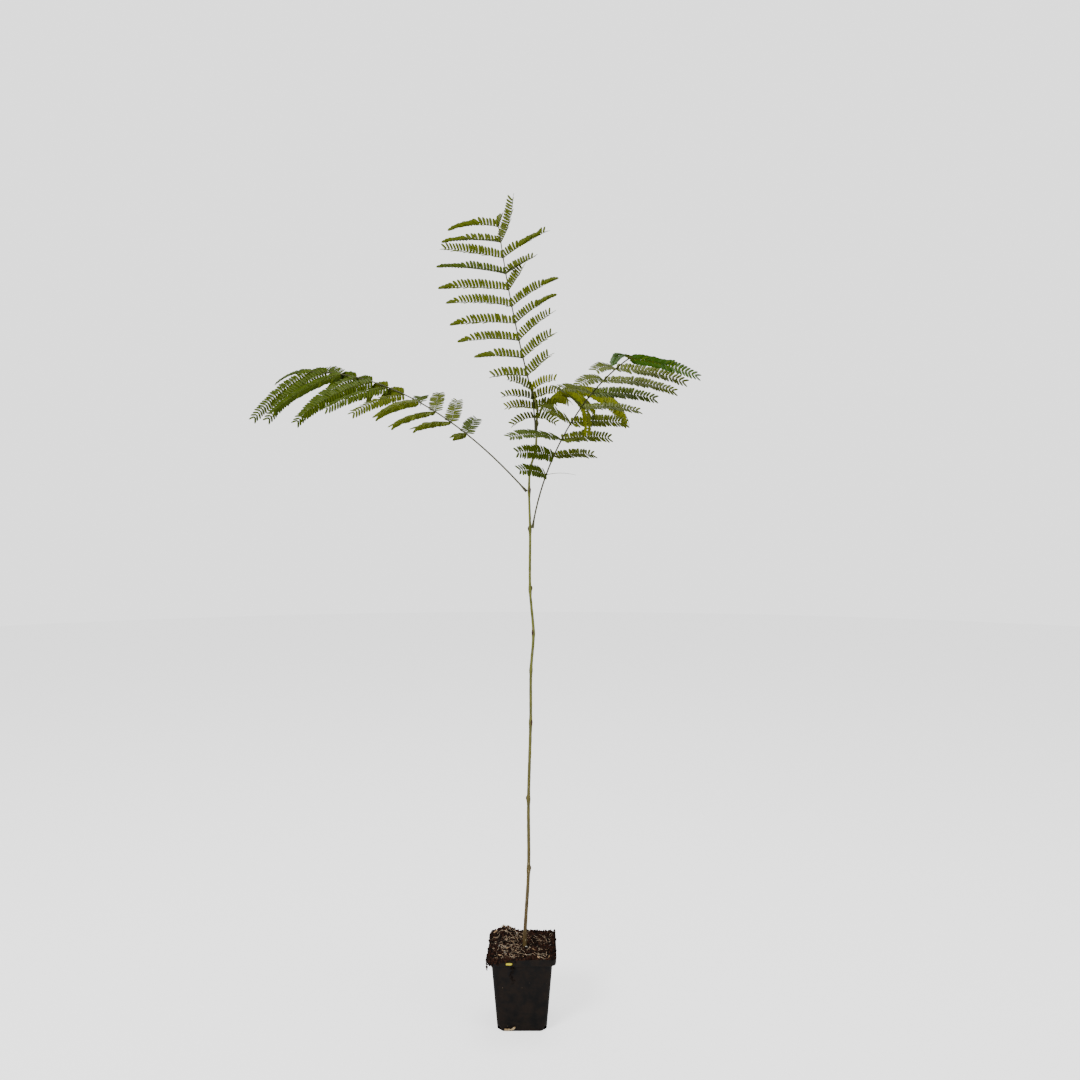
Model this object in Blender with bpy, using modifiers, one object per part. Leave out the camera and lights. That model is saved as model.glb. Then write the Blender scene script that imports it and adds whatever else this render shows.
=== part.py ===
"""A young silk tree in a square nursery pot: one slim stem with five bipinnate leaves.

Metres, +Z up. The origin is the middle of the pot's flat underside. A leaf's heading is
counted anticlockwise from +X, seen from above.
"""

import math
import random

import bmesh
import bpy
from mathutils import Vector

TREE = "silk_tree"
SEED = 7
GAP = 0.0003

# Pot: a tapered square shell with a stepped-out rim band.
POT_WIDTH = 0.110
POT_HEIGHT = 0.120
POT_BODY_TOP_WIDTH = 0.0974
POT_FOOT_WIDTH = 0.079
POT_WALL = 0.0012
RIM_BAND_HEIGHT = 0.0095
RIM_STEP_HEIGHT = 0.0025
POT_SEGMENTS = 40
CORNER_SHARPNESS = 14
DRAIN_WIDTH = 0.010
DRAIN_HEIGHT = 0.015
DRAINS = 4
CUTTER_SIZE = 0.05

# Compost: fills the pot, with an uneven top that is heaped at the left rear and level
# close round the stem. Its top is made of rings at these shares of its half width.
COMPOST_CLEARANCE = 0.001
COMPOST_EDGE_HEIGHT = 0.1128
COMPOST_RIM_INSET = 0.0023
SOIL_LEVEL = 0.118
HEAP_CENTRE = (-0.026, 0.030)
HEAP_HEIGHT = 0.0065
HEAP_SPREAD = 0.020
CRUMB_ROUGHNESS = 0.0012
COMPOST_SHOULDER = 0.0015
COMPOST_RINGS = (0.82, 0.6, 0.38, 0.14)
LEVEL_RADIUS = 0.020

# Stem: (height, sideways, backward) of the cut foot, of each joint that bears a leaf or
# a bud, and of the tip. The stem bends a little at each joint.
STEM_JOINTS = (
    (SOIL_LEVEL + GAP, 0.0038, 0.0),
    (0.243, 0.0099, 0.0012),
    (0.358, 0.0099, -0.0012),
    (0.482, 0.0133, 0.0010),
    (0.569, 0.0139, -0.0008),
    (0.628, 0.0179, 0.0010),
    (0.700, 0.0125, -0.0010),
    (0.797, 0.0125, 0.0),
    (0.860, 0.0109, 0.0),
    (0.895, 0.0125, 0.0),
    (0.928, 0.0214, 0.0005),
    (0.968, 0.0229, -0.0005),
    (0.996, 0.0239, 0.0),
    (1.036, 0.0129, 0.0010),
)
STEM_STEP = 0.022
STEM_FOOT_RADIUS = 0.0027
STEM_TIP_RADIUS = 0.0013
STEM_TAPER = 0.8
FLARE_EXTRA = 0.0009
FLARE_HEIGHT = 0.018
JOINT_EXTRA = 0.0007
JOINT_SPREAD = 0.006

# Buds: one above each joint, sunk into the bark, each turned on from the one below.
BUD_LENGTH = 0.0075
BUD_RADIUS = 0.0019
BUD_TURN = 144
FIRST_BUD_HEADING = 20
BUD_SINK = 0.85
BUD_RISE = 0.3

# Leaf stalks: swollen at the base, where their rings crowd together, then slim.
STALK_BASE_RADIUS = 0.0021
STALK_RADIUS = 0.0010
STALK_END_RADIUS = 0.0008
SWELLING_LENGTH = 0.007
STALK_STOP = 0.008
MIDRIB_TIP_RADIUS = 0.0006
STALK_CROWDING = 1.6
LEAF_STEPS = 24

# Side sprays: toothed blades, each tooth standing for two or three leaflets.
TOOTH_PITCH = 0.016
LEAFLET_LENGTH = 0.0125
RIB_HALF_WIDTH = 0.0009
BLADE_THICKNESS = 0.0015
TOOTH_LEAN = 0.45
TOOTH_START = 0.5
TOOTH_END = 0.6
END_TOOTH_SHARE = 0.72
LONGEST_TOOTH_SHIFT = 1.15
SPRAY_STEPS = 8
SPRAY_SMOOTHING = 0.06
LENGTH_VARIES = 0.05
SPREAD_VARIES = 2.5
DROOP_VARIES = 4

# Each leaf: its own random seed, the height of its joint, its heading and the turn of
# that to the tip, the rise above level at base and tip and how late it bends over, the
# lengths of stalk and midrib, the pairs of side sprays and their length at base, middle
# and tip of the midrib, their spread from the midrib and how much more on the left side,
# the roll of the leaf about its midrib, the upward tilt of both sides, the droop of each
# spray, and the folds of the leaflet rows towards the leaf's tip and back from it.
# Angles in degrees.
LEAVES = {
    "right": dict(
        seed=1, height=0.800, heading=-43, turn=-17, rise=(78, 14), bend=1.0,
        stalk=0.091, midrib=0.260, pairs=9, spray=(0.062, 0.096, 0.107),
        spread=(74, 51), more_left=(0, 9), roll=(-2, -4), tilt=0, droop=42, fold=(8, 8),
    ),
    "left": dict(
        seed=2, height=0.860, heading=158, turn=-7, rise=(46, 5), bend=1.2,
        stalk=0.148, midrib=0.360, pairs=11, spray=(0.053, 0.128, 0.134),
        spread=(74, 27), more_left=(4, 13), roll=(-12, -35), tilt=13, droop=47, fold=(10, 10),
    ),
    "upper": dict(
        seed=3, height=0.995, heading=114, turn=-10, rise=(58, 61), bend=1.0,
        stalk=0.069, midrib=0.352, pairs=10, spray=(0.060, 0.114, 0.085),
        spread=(56, 57), more_left=(10, 14), roll=(-22, -6), tilt=-2, droop=15, fold=(0, 60),
    ),
    "arching": dict(
        seed=8, height=0.990, heading=10, turn=-22, rise=(65, -48), bend=0.9,
        stalk=0.022, midrib=0.125, pairs=8, spray=(0.028, 0.052, 0.046),
        spread=(80, 35), more_left=(0, 5), roll=(0, -10), tilt=0, droop=38, fold=(10, 10),
    ),
    "young": dict(
        seed=5, height=0.954, heading=258, turn=8, rise=(68, 50), bend=1.0,
        stalk=0.020, midrib=0.060, pairs=5, spray=(0.036, 0.048, 0.050),
        spread=(80, 50), more_left=(0, 0), roll=(0, 0), tilt=0, droop=35, fold=(15, 15),
    ),
}

LEFT, RIGHT = 1, -1
UP = Vector((0, 0, 1))


# ---------------------------------------------------------------- scene and materials


def clear_scene():
    for obj in list(bpy.data.objects):
        bpy.data.objects.remove(obj, do_unlink=True)


def new_collection(name, parent=None):
    collection = bpy.data.collections.new(name)
    (parent or bpy.context.scene.collection).children.link(collection)
    return collection


def principled(name, colour, roughness):
    material = bpy.data.materials.new(name)
    material.use_nodes = True
    shader = material.node_tree.nodes["Principled BSDF"]
    shader.inputs["Base Color"].default_value = (*colour, 1)
    shader.inputs["Roughness"].default_value = roughness
    shader.inputs["Metallic"].default_value = 0
    return material


def mesh_object(name, bm, collection, material=None):
    bmesh.ops.recalc_face_normals(bm, faces=bm.faces)
    mesh = bpy.data.meshes.new(name)
    bm.to_mesh(mesh)
    bm.free()
    obj = bpy.data.objects.new(name, mesh)
    if material:
        mesh.materials.append(material)
    collection.objects.link(obj)
    return obj


def evaluated_mesh(obj):
    """The object's evaluated mesh, with a curve's loose caps welded on."""
    graph = bpy.context.evaluated_depsgraph_get()
    mesh = bpy.data.meshes.new_from_object(obj.evaluated_get(graph))
    if obj.type != "CURVE":
        return mesh
    bm = bmesh.new()
    bm.from_mesh(mesh)
    bmesh.ops.remove_doubles(bm, verts=bm.verts, dist=0.000001)
    bm.to_mesh(mesh)
    bm.free()
    return mesh


def made_mesh(obj, name, collection, material):
    """A mesh object in place of the curve or modified object, which is removed."""
    result = bpy.data.objects.new(name, evaluated_mesh(obj))
    result.matrix_world = obj.matrix_world.copy()
    result.data.materials.clear()
    result.data.materials.append(material)
    bpy.data.objects.remove(obj, do_unlink=True)
    collection.objects.link(result)
    return result


def tapered_tube(name, points, radii, collection, sides_level=2):
    """A poly curve with filled caps, whose radius follows the list."""
    curve = bpy.data.curves.new(name, "CURVE")
    curve.dimensions = "3D"
    curve.bevel_depth = 1.0
    curve.bevel_resolution = sides_level
    curve.use_fill_caps = True
    spline = curve.splines.new("POLY")
    spline.points.add(len(points) - 1)
    for knot, place, radius in zip(spline.points, points, radii):
        knot.co = (*place, 1)
        knot.radius = radius
    obj = bpy.data.objects.new(name, curve)
    collection.objects.link(obj)
    return obj


def fuse(base, others, name, collection, material):
    """The union of one mesh object and a collection of them, as one new mesh object."""
    union = base.modifiers.new("union", "BOOLEAN")
    union.operation = "UNION"
    union.operand_type = "COLLECTION"
    union.collection = others
    union.solver = "MANIFOLD"
    bpy.context.view_layer.update()
    result = made_mesh(base, name, collection, material)
    for obj in list(others.objects):
        bpy.data.objects.remove(obj, do_unlink=True)
    bpy.data.collections.remove(others)
    return result


# ---------------------------------------------------------------- pot and compost


def square_ring(bm, half_width, height):
    """A ring of points in the outline of a square with rounded corners."""
    ring = bmesh.ops.create_circle(bm, segments=POT_SEGMENTS, radius=1)["verts"]
    power = 2 / CORNER_SHARPNESS
    for vert in ring:
        x, y = (0 if abs(value) < 1e-6 else value for value in vert.co.xy)
        vert.co.x = half_width * math.copysign(abs(x) ** power, x)
        vert.co.y = half_width * math.copysign(abs(y) ** power, y)
        vert.co.z = height
    return ring


def ring_edges(ring):
    members = set(ring)
    edges = {edge for vert in ring for edge in vert.link_edges}
    return [edge for edge in edges if set(edge.verts) <= members]


def stacked_rings(bm, sections):
    """A wall through rings at (half width, height), each grown from the one before."""
    rings = [square_ring(bm, *sections[0])]
    for (old_half, _), (half_width, height) in zip(sections, sections[1:]):
        grown = bmesh.ops.extrude_edge_only(bm, edges=ring_edges(rings[-1]))["geom"]
        ring = [part for part in grown if isinstance(part, bmesh.types.BMVert)]
        ratio = half_width / old_half
        bmesh.ops.scale(bm, verts=ring, vec=(ratio, ratio, 1))
        for vert in ring:
            vert.co.z = height
        rings.append(ring)
    return rings


def body_half_width(height):
    """Half the pot's outer width below the rim band."""
    share = height / (POT_HEIGHT - RIM_BAND_HEIGHT - RIM_STEP_HEIGHT)
    return (POT_FOOT_WIDTH + (POT_BODY_TOP_WIDTH - POT_FOOT_WIDTH) * share) / 2


def drain_plane(number):
    """Heading, reach at the foot and lean of the plane that cuts one lower corner."""
    heading = math.radians(45 + 90 * number)
    depth = DRAIN_WIDTH / math.sqrt(2)
    return heading, POT_FOOT_WIDTH / math.sqrt(2) - depth, math.atan2(depth, DRAIN_HEIGHT)


def drain_cutter(number, collection):
    """A block whose slanting face cuts one lower corner of the pot away."""
    heading, reach, lean = drain_plane(number)
    bm = bmesh.new()
    bmesh.ops.create_cube(bm, size=CUTTER_SIZE)
    bmesh.ops.translate(bm, verts=bm.verts, vec=(CUTTER_SIZE / 2, 0, 0))
    cutter = mesh_object(f"drain_cutter_{number}", bm, collection)
    cutter.rotation_euler = (0, lean, heading)
    cutter.location = (reach * math.cos(heading), reach * math.sin(heading), 0)
    cutter.hide_render = True
    cutter.display_type = "WIRE"
    return cutter


def build_pot(parts, cutters, material):
    band_foot = POT_HEIGHT - RIM_BAND_HEIGHT
    step_foot = band_foot - RIM_STEP_HEIGHT
    bm = bmesh.new()
    rings = stacked_rings(bm, (
        (POT_FOOT_WIDTH / 2, 0),
        (POT_BODY_TOP_WIDTH / 2, step_foot),
        (POT_WIDTH / 2 - POT_WALL / 2, band_foot),
        (POT_WIDTH / 2, POT_HEIGHT),
    ))
    bmesh.ops.contextual_create(bm, geom=ring_edges(rings[0]))
    pot = mesh_object("pot", bm, parts, material)
    shell = pot.modifiers.new("wall", "SOLIDIFY")
    shell.thickness = POT_WALL
    shell.offset = -1
    shell.use_even_offset = True
    for number in range(DRAINS):
        drain = pot.modifiers.new(f"drain_{number}", "BOOLEAN")
        drain.operation = "DIFFERENCE"
        drain.object = drain_cutter(number, cutters)
    return pot


def compost_height(x, y, dice):
    """The uneven top, level close round the stem's foot."""
    foot_x, foot_y = STEM_JOINTS[0][1:]
    away = min(1, math.hypot(x - foot_x, y - foot_y) / LEVEL_RADIUS)
    heap = HEAP_HEIGHT * math.exp(
        -((x - HEAP_CENTRE[0]) ** 2 + (y - HEAP_CENTRE[1]) ** 2) / HEAP_SPREAD**2
    )
    return SOIL_LEVEL + away * (heap + dice.uniform(-1, 1) * CRUMB_ROUGHNESS)


def build_compost(parts, material):
    dice = random.Random(SEED)
    floor = POT_WALL + GAP
    inset = POT_WALL + COMPOST_CLEARANCE
    shelf = POT_HEIGHT - RIM_BAND_HEIGHT - RIM_STEP_HEIGHT + GAP
    half_top = POT_WIDTH / 2 - COMPOST_RIM_INSET
    foot_x, foot_y = STEM_JOINTS[0][1:]
    sections = [
        (body_half_width(floor) - inset, floor),
        (body_half_width(shelf) - inset, shelf),
        (half_top, COMPOST_EDGE_HEIGHT),
        (half_top, SOIL_LEVEL - COMPOST_SHOULDER),
    ]
    inner = [(half_top * share, SOIL_LEVEL) for share in COMPOST_RINGS]
    bm = bmesh.new()
    rings = stacked_rings(bm, sections + inner)
    for ring, (half_width, _) in zip(rings[len(sections):], inner):
        pull = 1 - half_width / half_top
        for vert in ring:
            vert.co.x += foot_x * pull
            vert.co.y += foot_y * pull
            vert.co.z = compost_height(vert.co.x, vert.co.y, dice)
    for vert in rings[-1]:
        vert.co.z = SOIL_LEVEL
    bmesh.ops.contextual_create(bm, geom=ring_edges(rings[0]))
    bmesh.ops.contextual_create(bm, geom=ring_edges(rings[-1]))
    cut_compost_corners(bm)
    return mesh_object("compost", bm, parts, material)


def cut_compost_corners(bm):
    """Keeps the compost inside the four drains of the pot."""
    for number in range(DRAINS):
        heading, reach, lean = drain_plane(number)
        outward = Vector((math.cos(heading), math.sin(heading), 0))
        normal = outward * math.cos(lean) - UP * math.sin(lean)
        cut = bmesh.ops.bisect_plane(
            bm, geom=bm.verts[:] + bm.edges[:] + bm.faces[:],
            plane_co=outward * (reach - POT_WALL), plane_no=normal, clear_outer=True,
        )
        rim = [part for part in cut["geom_cut"] if isinstance(part, bmesh.types.BMEdge)]
        if rim:
            bmesh.ops.contextual_create(bm, geom=rim)


# ---------------------------------------------------------------- stem


def stem_centre(height):
    """The stem's middle at a height: a smooth curve through its joints."""
    heights = [joint[0] for joint in STEM_JOINTS]
    last = len(STEM_JOINTS) - 2
    index = max(0, min(last, sum(h <= height for h in heights) - 1))
    low, high = STEM_JOINTS[index], STEM_JOINTS[index + 1]
    before = STEM_JOINTS[max(0, index - 1)]
    after = STEM_JOINTS[min(last + 1, index + 2)]
    span = high[0] - low[0]
    t = (height - low[0]) / span
    place = []
    for axis in (1, 2):
        start = (high[axis] - before[axis]) / (high[0] - before[0]) * span if index else 0
        end = (after[axis] - low[axis]) / (after[0] - low[0]) * span
        place.append(
            (2 * t**3 - 3 * t**2 + 1) * low[axis] + (t**3 - 2 * t**2 + t) * start
            + (3 * t**2 - 2 * t**3) * high[axis] + (t**3 - t**2) * end
        )
    return Vector((*place, height))


def stem_radius(height):
    foot, tip = STEM_JOINTS[0][0], STEM_JOINTS[-1][0]
    share = (height - foot) / (tip - foot)
    radius = STEM_FOOT_RADIUS + (STEM_TIP_RADIUS - STEM_FOOT_RADIUS) * share ** (1 / STEM_TAPER)
    radius += FLARE_EXTRA * math.exp(-(height - foot) / FLARE_HEIGHT)
    for joint in STEM_JOINTS[1:-1]:
        radius += JOINT_EXTRA * math.exp(-(((height - joint[0]) / JOINT_SPREAD) ** 2))
    return radius


def build_stem(parts, material):
    foot, tip = STEM_JOINTS[0][0], STEM_JOINTS[-1][0]
    steps = round((tip - foot) / STEM_STEP)
    heights = {foot + (tip - foot) * step / steps for step in range(steps + 1)}
    heights |= {joint[0] for joint in STEM_JOINTS}
    heights = sorted(heights)
    points = [stem_centre(height) for height in heights]
    radii = [stem_radius(height) for height in heights]
    scratch = new_collection("stem_pieces")
    tube = tapered_tube("stem_tube", points, radii, scratch)
    rod = made_mesh(tube, "stem_rod", scratch, material)
    buds = new_collection("bud_pieces")
    for number, joint in enumerate(STEM_JOINTS[1:-1]):
        heading = math.radians(FIRST_BUD_HEADING + BUD_TURN * number)
        outward = Vector((math.cos(heading), math.sin(heading), 0))
        bm = bmesh.new()
        bmesh.ops.create_uvsphere(bm, u_segments=5, v_segments=4, radius=1)
        bmesh.ops.scale(bm, verts=bm.verts, vec=(BUD_RADIUS, BUD_RADIUS, BUD_LENGTH / 2))
        middle = stem_centre(joint[0]) + outward * (stem_radius(joint[0]) * BUD_SINK)
        bmesh.ops.translate(bm, verts=bm.verts, vec=middle + UP * BUD_LENGTH * BUD_RISE)
        mesh_object(f"bud_{number}", bm, buds)
    stem = fuse(rod, buds, "stem", parts, material)
    bpy.data.collections.remove(scratch)
    return stem


# ---------------------------------------------------------------- leaves


def between(pair, share):
    return pair[0] + (pair[1] - pair[0]) * share


def leaf_direction(leaf, share):
    heading = math.radians(leaf["heading"] + leaf["turn"] * share)
    rise = math.radians(between(leaf["rise"], share ** leaf["bend"]))
    return heading, rise


def leaf_axes(leaf, share):
    """Forward along the midrib, to the leaf's left, and up from its upper face."""
    heading, rise = leaf_direction(leaf, share)
    level = Vector((math.cos(heading), math.sin(heading), 0))
    forward = level * math.cos(rise) + UP * math.sin(rise)
    left = UP.cross(level)
    face = forward.cross(left)
    roll = math.radians(between(leaf["roll"], share))
    return (
        forward,
        left * math.cos(roll) + face * math.sin(roll),
        face * math.cos(roll) - left * math.sin(roll),
    )


def leaf_root(leaf):
    """The middle of the stalk's base, just clear of the stem."""
    heading, rise = leaf_direction(leaf, 0)
    away = stem_radius(leaf["height"]) + STALK_BASE_RADIUS * math.sin(rise) + GAP
    outward = Vector((math.cos(heading), math.sin(heading), 0))
    return stem_centre(leaf["height"]) + outward * away


def leaf_line(leaf):
    """Points along the middle of stalk and midrib, a step apart."""
    step = (leaf["stalk"] + leaf["midrib"]) / LEAF_STEPS
    points = [leaf_root(leaf)]
    for number in range(LEAF_STEPS):
        forward = leaf_axes(leaf, (number + 0.5) / LEAF_STEPS)[0]
        points.append(points[-1] + forward * step)
    return points


def point_on(line, share):
    place = min(max(share, 0), 1) * (len(line) - 1)
    index = min(int(place), len(line) - 2)
    return line[index].lerp(line[index + 1], place - index)


def spray_length(leaf, share):
    """Through the lengths at the midrib's base, middle and tip."""
    base, middle, tip = leaf["spray"]
    return (
        base * (1 - share) * (1 - 2 * share)
        + middle * 4 * share * (1 - share)
        + tip * share * (2 * share - 1)
    )


def leaf_sprays(leaf, dice):
    """Side, place on the midrib, length, extra spread and droop of each side spray."""
    for number in range(leaf["pairs"]):
        share = number / (leaf["pairs"] - 1)
        for side in (LEFT, RIGHT):
            length = spray_length(leaf, share) * (1 + dice.uniform(-1, 1) * LENGTH_VARIES)
            extra = dice.uniform(-1, 1) * SPREAD_VARIES
            droop = leaf["droop"] + dice.uniform(-1, 1) * DROOP_VARIES
            yield side, share, length, extra, droop


def spray_axes(leaf, line, share, side, extra):
    """Root, first direction and the leaf's forward direction of one side spray."""
    along = (leaf["stalk"] + leaf["midrib"] * share) / (leaf["stalk"] + leaf["midrib"])
    forward, left, face = leaf_axes(leaf, along)
    spread = between(leaf["spread"], share) + side * between(leaf["more_left"], share) + extra
    spread = math.radians(spread)
    tilt = math.radians(leaf["tilt"])
    outward = left * (side * math.cos(tilt)) + face * math.sin(tilt)
    return point_on(line, along), forward * math.cos(spread) + outward * math.sin(spread), forward


def spray_line(root, direction, length, droop):
    """Points along a spray that bends down by the droop, least where it already hangs."""
    heading = math.atan2(direction.y, direction.x)
    rise = math.asin(max(-1, min(1, direction.z)))
    points = [root]
    for number in range(SPRAY_STEPS):
        fall = math.radians(droop) * (number + 0.5) / SPRAY_STEPS * math.cos(rise)
        level = Vector((math.cos(heading), math.sin(heading), 0))
        step = level * math.cos(rise - fall) + UP * math.sin(rise - fall)
        points.append(points[-1] + step * (length / SPRAY_STEPS))
    return points


def tooth_reach(share):
    """A tooth's length by its place on the spray: shorter at both ends."""
    swell = math.sin(math.pi * min(1, share * LONGEST_TOOTH_SHIFT))
    return LEAFLET_LENGTH * (END_TOOTH_SHARE + (1 - END_TOOTH_SHARE) * swell)


def blade_sheet(length):
    """The flat toothed sheet along +X: a rib with a row of teeth on each side."""
    teeth = max(3, round(length / TOOTH_PITCH))
    pitch = length / (teeth + TOOTH_END)
    feet = [0] + [pitch * (TOOTH_START + number) for number in range(teeth + 1)]
    bm = bmesh.new()
    rows = {}
    for side in (LEFT, RIGHT):
        rows[side] = [bm.verts.new((foot, side * RIB_HALF_WIDTH, 0)) for foot in feet]
    left, right = rows[LEFT], rows[RIGHT]
    for number in range(teeth + 1):
        bm.faces.new((left[number], right[number], right[number + 1], left[number + 1]))
    bm.faces.new((left[-1], right[-1], bm.verts.new((length, 0, 0))))
    for number in range(1, teeth + 1):
        reach = RIB_HALF_WIDTH + tooth_reach((number - 0.5) / teeth)
        tip_at = feet[number] + pitch * (TOOTH_START + TOOTH_LEAN)
        bm.faces.new((left[number], left[number + 1], bm.verts.new((tip_at, reach, 0))))
        bm.faces.new((right[number], bm.verts.new((tip_at, -reach, 0)), right[number + 1]))
    bmesh.ops.triangulate(bm, faces=bm.faces)
    return bm


def bend_blade(bm, line, length, forward, side, folds):
    """Bends the flat sheet along its spray, folds both rows of teeth up and thickens it."""
    front_fold, back_fold = (math.radians(fold) for fold in folds)
    for vert in bm.verts:
        x, y, _ = vert.co
        share = x / length
        ahead_of = point_on(line, share + SPRAY_SMOOTHING)
        along = (ahead_of - point_on(line, share - SPRAY_SMOOTHING)).normalized()
        ahead = (forward - along * forward.dot(along)).normalized()
        across = ahead * -side
        face = along.cross(across)
        fold = back_fold if (y > 0) == (side == LEFT) else front_fold
        rib = max(-RIB_HALF_WIDTH, min(RIB_HALF_WIDTH, y))
        out = y - rib
        vert.co = (
            point_on(line, share) + across * (rib + out * math.cos(fold))
            + face * (abs(out) * math.sin(fold))
        )
    bm.normal_update()
    for vert in bm.verts:
        vert.co += vert.normal * (BLADE_THICKNESS / 2)
    bmesh.ops.solidify(bm, geom=bm.faces[:], thickness=BLADE_THICKNESS)


def build_stalk(name, leaf, line, parts, material):
    whole = leaf["stalk"] + leaf["midrib"]
    end = (leaf["stalk"] - STALK_STOP - GAP) / whole
    count = max(6, round(end * LEAF_STEPS) + 3)
    points = []
    radii = []
    for number in range(count + 1):
        share = end * (number / count) ** STALK_CROWDING
        points.append(point_on(line, share))
        swelling = math.exp(-((share * whole / SWELLING_LENGTH) ** 2))
        slim = STALK_RADIUS + (STALK_END_RADIUS - STALK_RADIUS) * number / count
        radii.append(slim + (STALK_BASE_RADIUS - slim) * swelling)
    scratch = tapered_tube(f"stalk_{name}_tube", points, radii, parts)
    return made_mesh(scratch, f"stalk_{name}", parts, material)


def build_foliage(name, leaf, line, parts, material):
    """Midrib and side sprays of one leaf, fused into one body."""
    whole = leaf["stalk"] + leaf["midrib"]
    start = (leaf["stalk"] - STALK_STOP) / whole
    steps = round((1 - start) * LEAF_STEPS)
    shares = [start + (1 - start) * number / steps for number in range(steps + 1)]
    points = [point_on(line, share) for share in shares]
    radii = [between((STALK_END_RADIUS, MIDRIB_TIP_RADIUS), n / steps) for n in range(steps + 1)]
    scratch = new_collection(f"pieces_{name}")
    tube = tapered_tube("midrib_tube", points, radii, scratch, sides_level=0)
    midrib = made_mesh(tube, "midrib", scratch, material)
    sprays = new_collection(f"sprays_{name}")
    for side, share, length, extra, droop in leaf_sprays(leaf, random.Random(leaf["seed"])):
        root, direction, forward = spray_axes(leaf, line, share, side, extra)
        route = spray_line(root, direction, length, droop)
        blade = blade_sheet(length)
        bend_blade(blade, route, length, forward, side, leaf["fold"])
        mesh_object("spray", blade, sprays)
    foliage = fuse(midrib, sprays, f"foliage_{name}", parts, material)
    bpy.data.collections.remove(scratch)
    return foliage


def main():
    clear_scene()
    parts = new_collection(TREE)
    cutters = new_collection("cutters")
    pot_plastic = principled("pot_plastic", (0.013, 0.012, 0.011), 0.5)
    compost_brown = principled("compost", (0.035, 0.018, 0.011), 0.95)
    bark = principled("stem_bark", (0.13, 0.11, 0.03), 0.6)
    stalk_green = principled("stalk", (0.10, 0.10, 0.05), 0.55)
    leaf_green = principled("leaf_green", (0.10, 0.14, 0.008), 0.5)
    build_pot(parts, cutters, pot_plastic)
    build_compost(parts, compost_brown)
    build_stem(parts, bark)
    for name, leaf in LEAVES.items():
        line = leaf_line(leaf)
        build_stalk(name, leaf, line, parts, stalk_green)
        build_foliage(name, leaf, line, parts, leaf_green)


main()
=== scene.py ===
"""The finished look of a young silk tree in a square nursery pot.

Metres, +Z up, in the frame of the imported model. A leaf's heading is counted
anticlockwise from +X, seen from above.
"""

import math
import random

import bmesh
import bpy
import numpy as np
from mathutils import Matrix, Vector, noise


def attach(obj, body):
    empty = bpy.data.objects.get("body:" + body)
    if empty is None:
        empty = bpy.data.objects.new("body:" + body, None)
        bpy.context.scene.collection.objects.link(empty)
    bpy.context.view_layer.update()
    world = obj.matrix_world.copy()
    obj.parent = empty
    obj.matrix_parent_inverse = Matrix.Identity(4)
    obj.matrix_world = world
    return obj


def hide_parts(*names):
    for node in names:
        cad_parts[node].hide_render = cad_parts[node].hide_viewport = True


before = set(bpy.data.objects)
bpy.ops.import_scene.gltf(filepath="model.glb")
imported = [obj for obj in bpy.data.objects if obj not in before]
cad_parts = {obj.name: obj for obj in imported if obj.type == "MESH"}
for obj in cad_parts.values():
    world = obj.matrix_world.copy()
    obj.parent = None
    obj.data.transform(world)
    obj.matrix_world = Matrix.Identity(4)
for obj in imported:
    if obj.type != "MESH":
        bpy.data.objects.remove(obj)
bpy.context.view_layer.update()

BODY = "root"
UP = Vector((0, 0, 1))
LEFT, RIGHT = 1, -1
GAP = 0.0003

# Pot: sizes of the tapered square shell.
POT_WIDTH = 0.110
POT_HEIGHT = 0.120
POT_BODY_TOP_WIDTH = 0.0974
POT_FOOT_WIDTH = 0.079
POT_WALL = 0.0012
RIM_BAND_HEIGHT = 0.0095
RIM_STEP_HEIGHT = 0.0025
CORNER_SHARPNESS = 14
DRAIN_WIDTH = 0.010
DRAIN_HEIGHT = 0.015
DRAINS = 4
CUTTER_SIZE = 0.05
POT_SIDES = 120
SHARP_ANGLE = 35

# Compost.
SOIL_LEVEL = 0.118
COMPOST_INSET = 0.0023
COMPOST_CLEARANCE = 0.001
COMPOST_FOOT_INSET = 0.0075
COMPOST_FOOT_HEIGHT = 0.022
COMPOST_EDGE_HEIGHT = 0.1128
COMPOST_RINGS = 26
HEAP_CENTRE = (-0.028, 0.040)
HEAP_HEIGHT = 0.0135
HEAP_SPREAD = 0.018
LEVEL_RADIUS = 0.012
LUMP_UNEVENNESS = 0.28
STEM_CLEARANCE = 0.0045

# Crumbs on the rim: the share of each side that they cover, and how far they spread along
# the front from its left corner. A streak of dark crumbs runs down the front wall.
RIM_SHARE = 0.97
RIM_SPREAD = 0.032
STREAK_LENGTH = 0.030
STREAK_PLACE = -0.016

# Fibres on the compost.
FIBRE_KNOTS = 8
FIBRE_CLEARANCE = 0.006
FIBRE_EDGE = 0.003

# Shed leaflets on the front of the pot: turn and size, then place.
HUSK_TURNS = ((8, 0.0102), (-28, 0.009), (6, 0.010))
HUSK_PLACES = (
    (-0.0250, -0.0558, 0.1150),
    (-0.0180, -0.0415, 0.0030),
    (-0.0280, -0.0415, 0.0040),
)

# Stem: (height, sideways, backward) of the foot, of each joint and of the tip.
STEM_JOINTS = (
    (SOIL_LEVEL + GAP, 0.0038, 0.0),
    (0.243, 0.0099, 0.0012),
    (0.358, 0.0099, -0.0012),
    (0.482, 0.0133, 0.0010),
    (0.569, 0.0139, -0.0008),
    (0.628, 0.0179, 0.0010),
    (0.700, 0.0125, -0.0010),
    (0.797, 0.0125, 0.0),
    (0.860, 0.0109, 0.0),
    (0.895, 0.0125, 0.0),
    (0.928, 0.0214, 0.0005),
    (0.968, 0.0229, -0.0005),
    (0.996, 0.0239, 0.0),
    (1.036, 0.0129, 0.0010),
)
STEM_FOOT_RADIUS = 0.0029
STEM_TIP_RADIUS = 0.0017
STEM_TAPER = 0.8
STEM_STEPS = 520
FLARE_EXTRA = 0.0009
FLARE_HEIGHT = 0.018
JOINT_EXTRA = 0.0007
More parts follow.
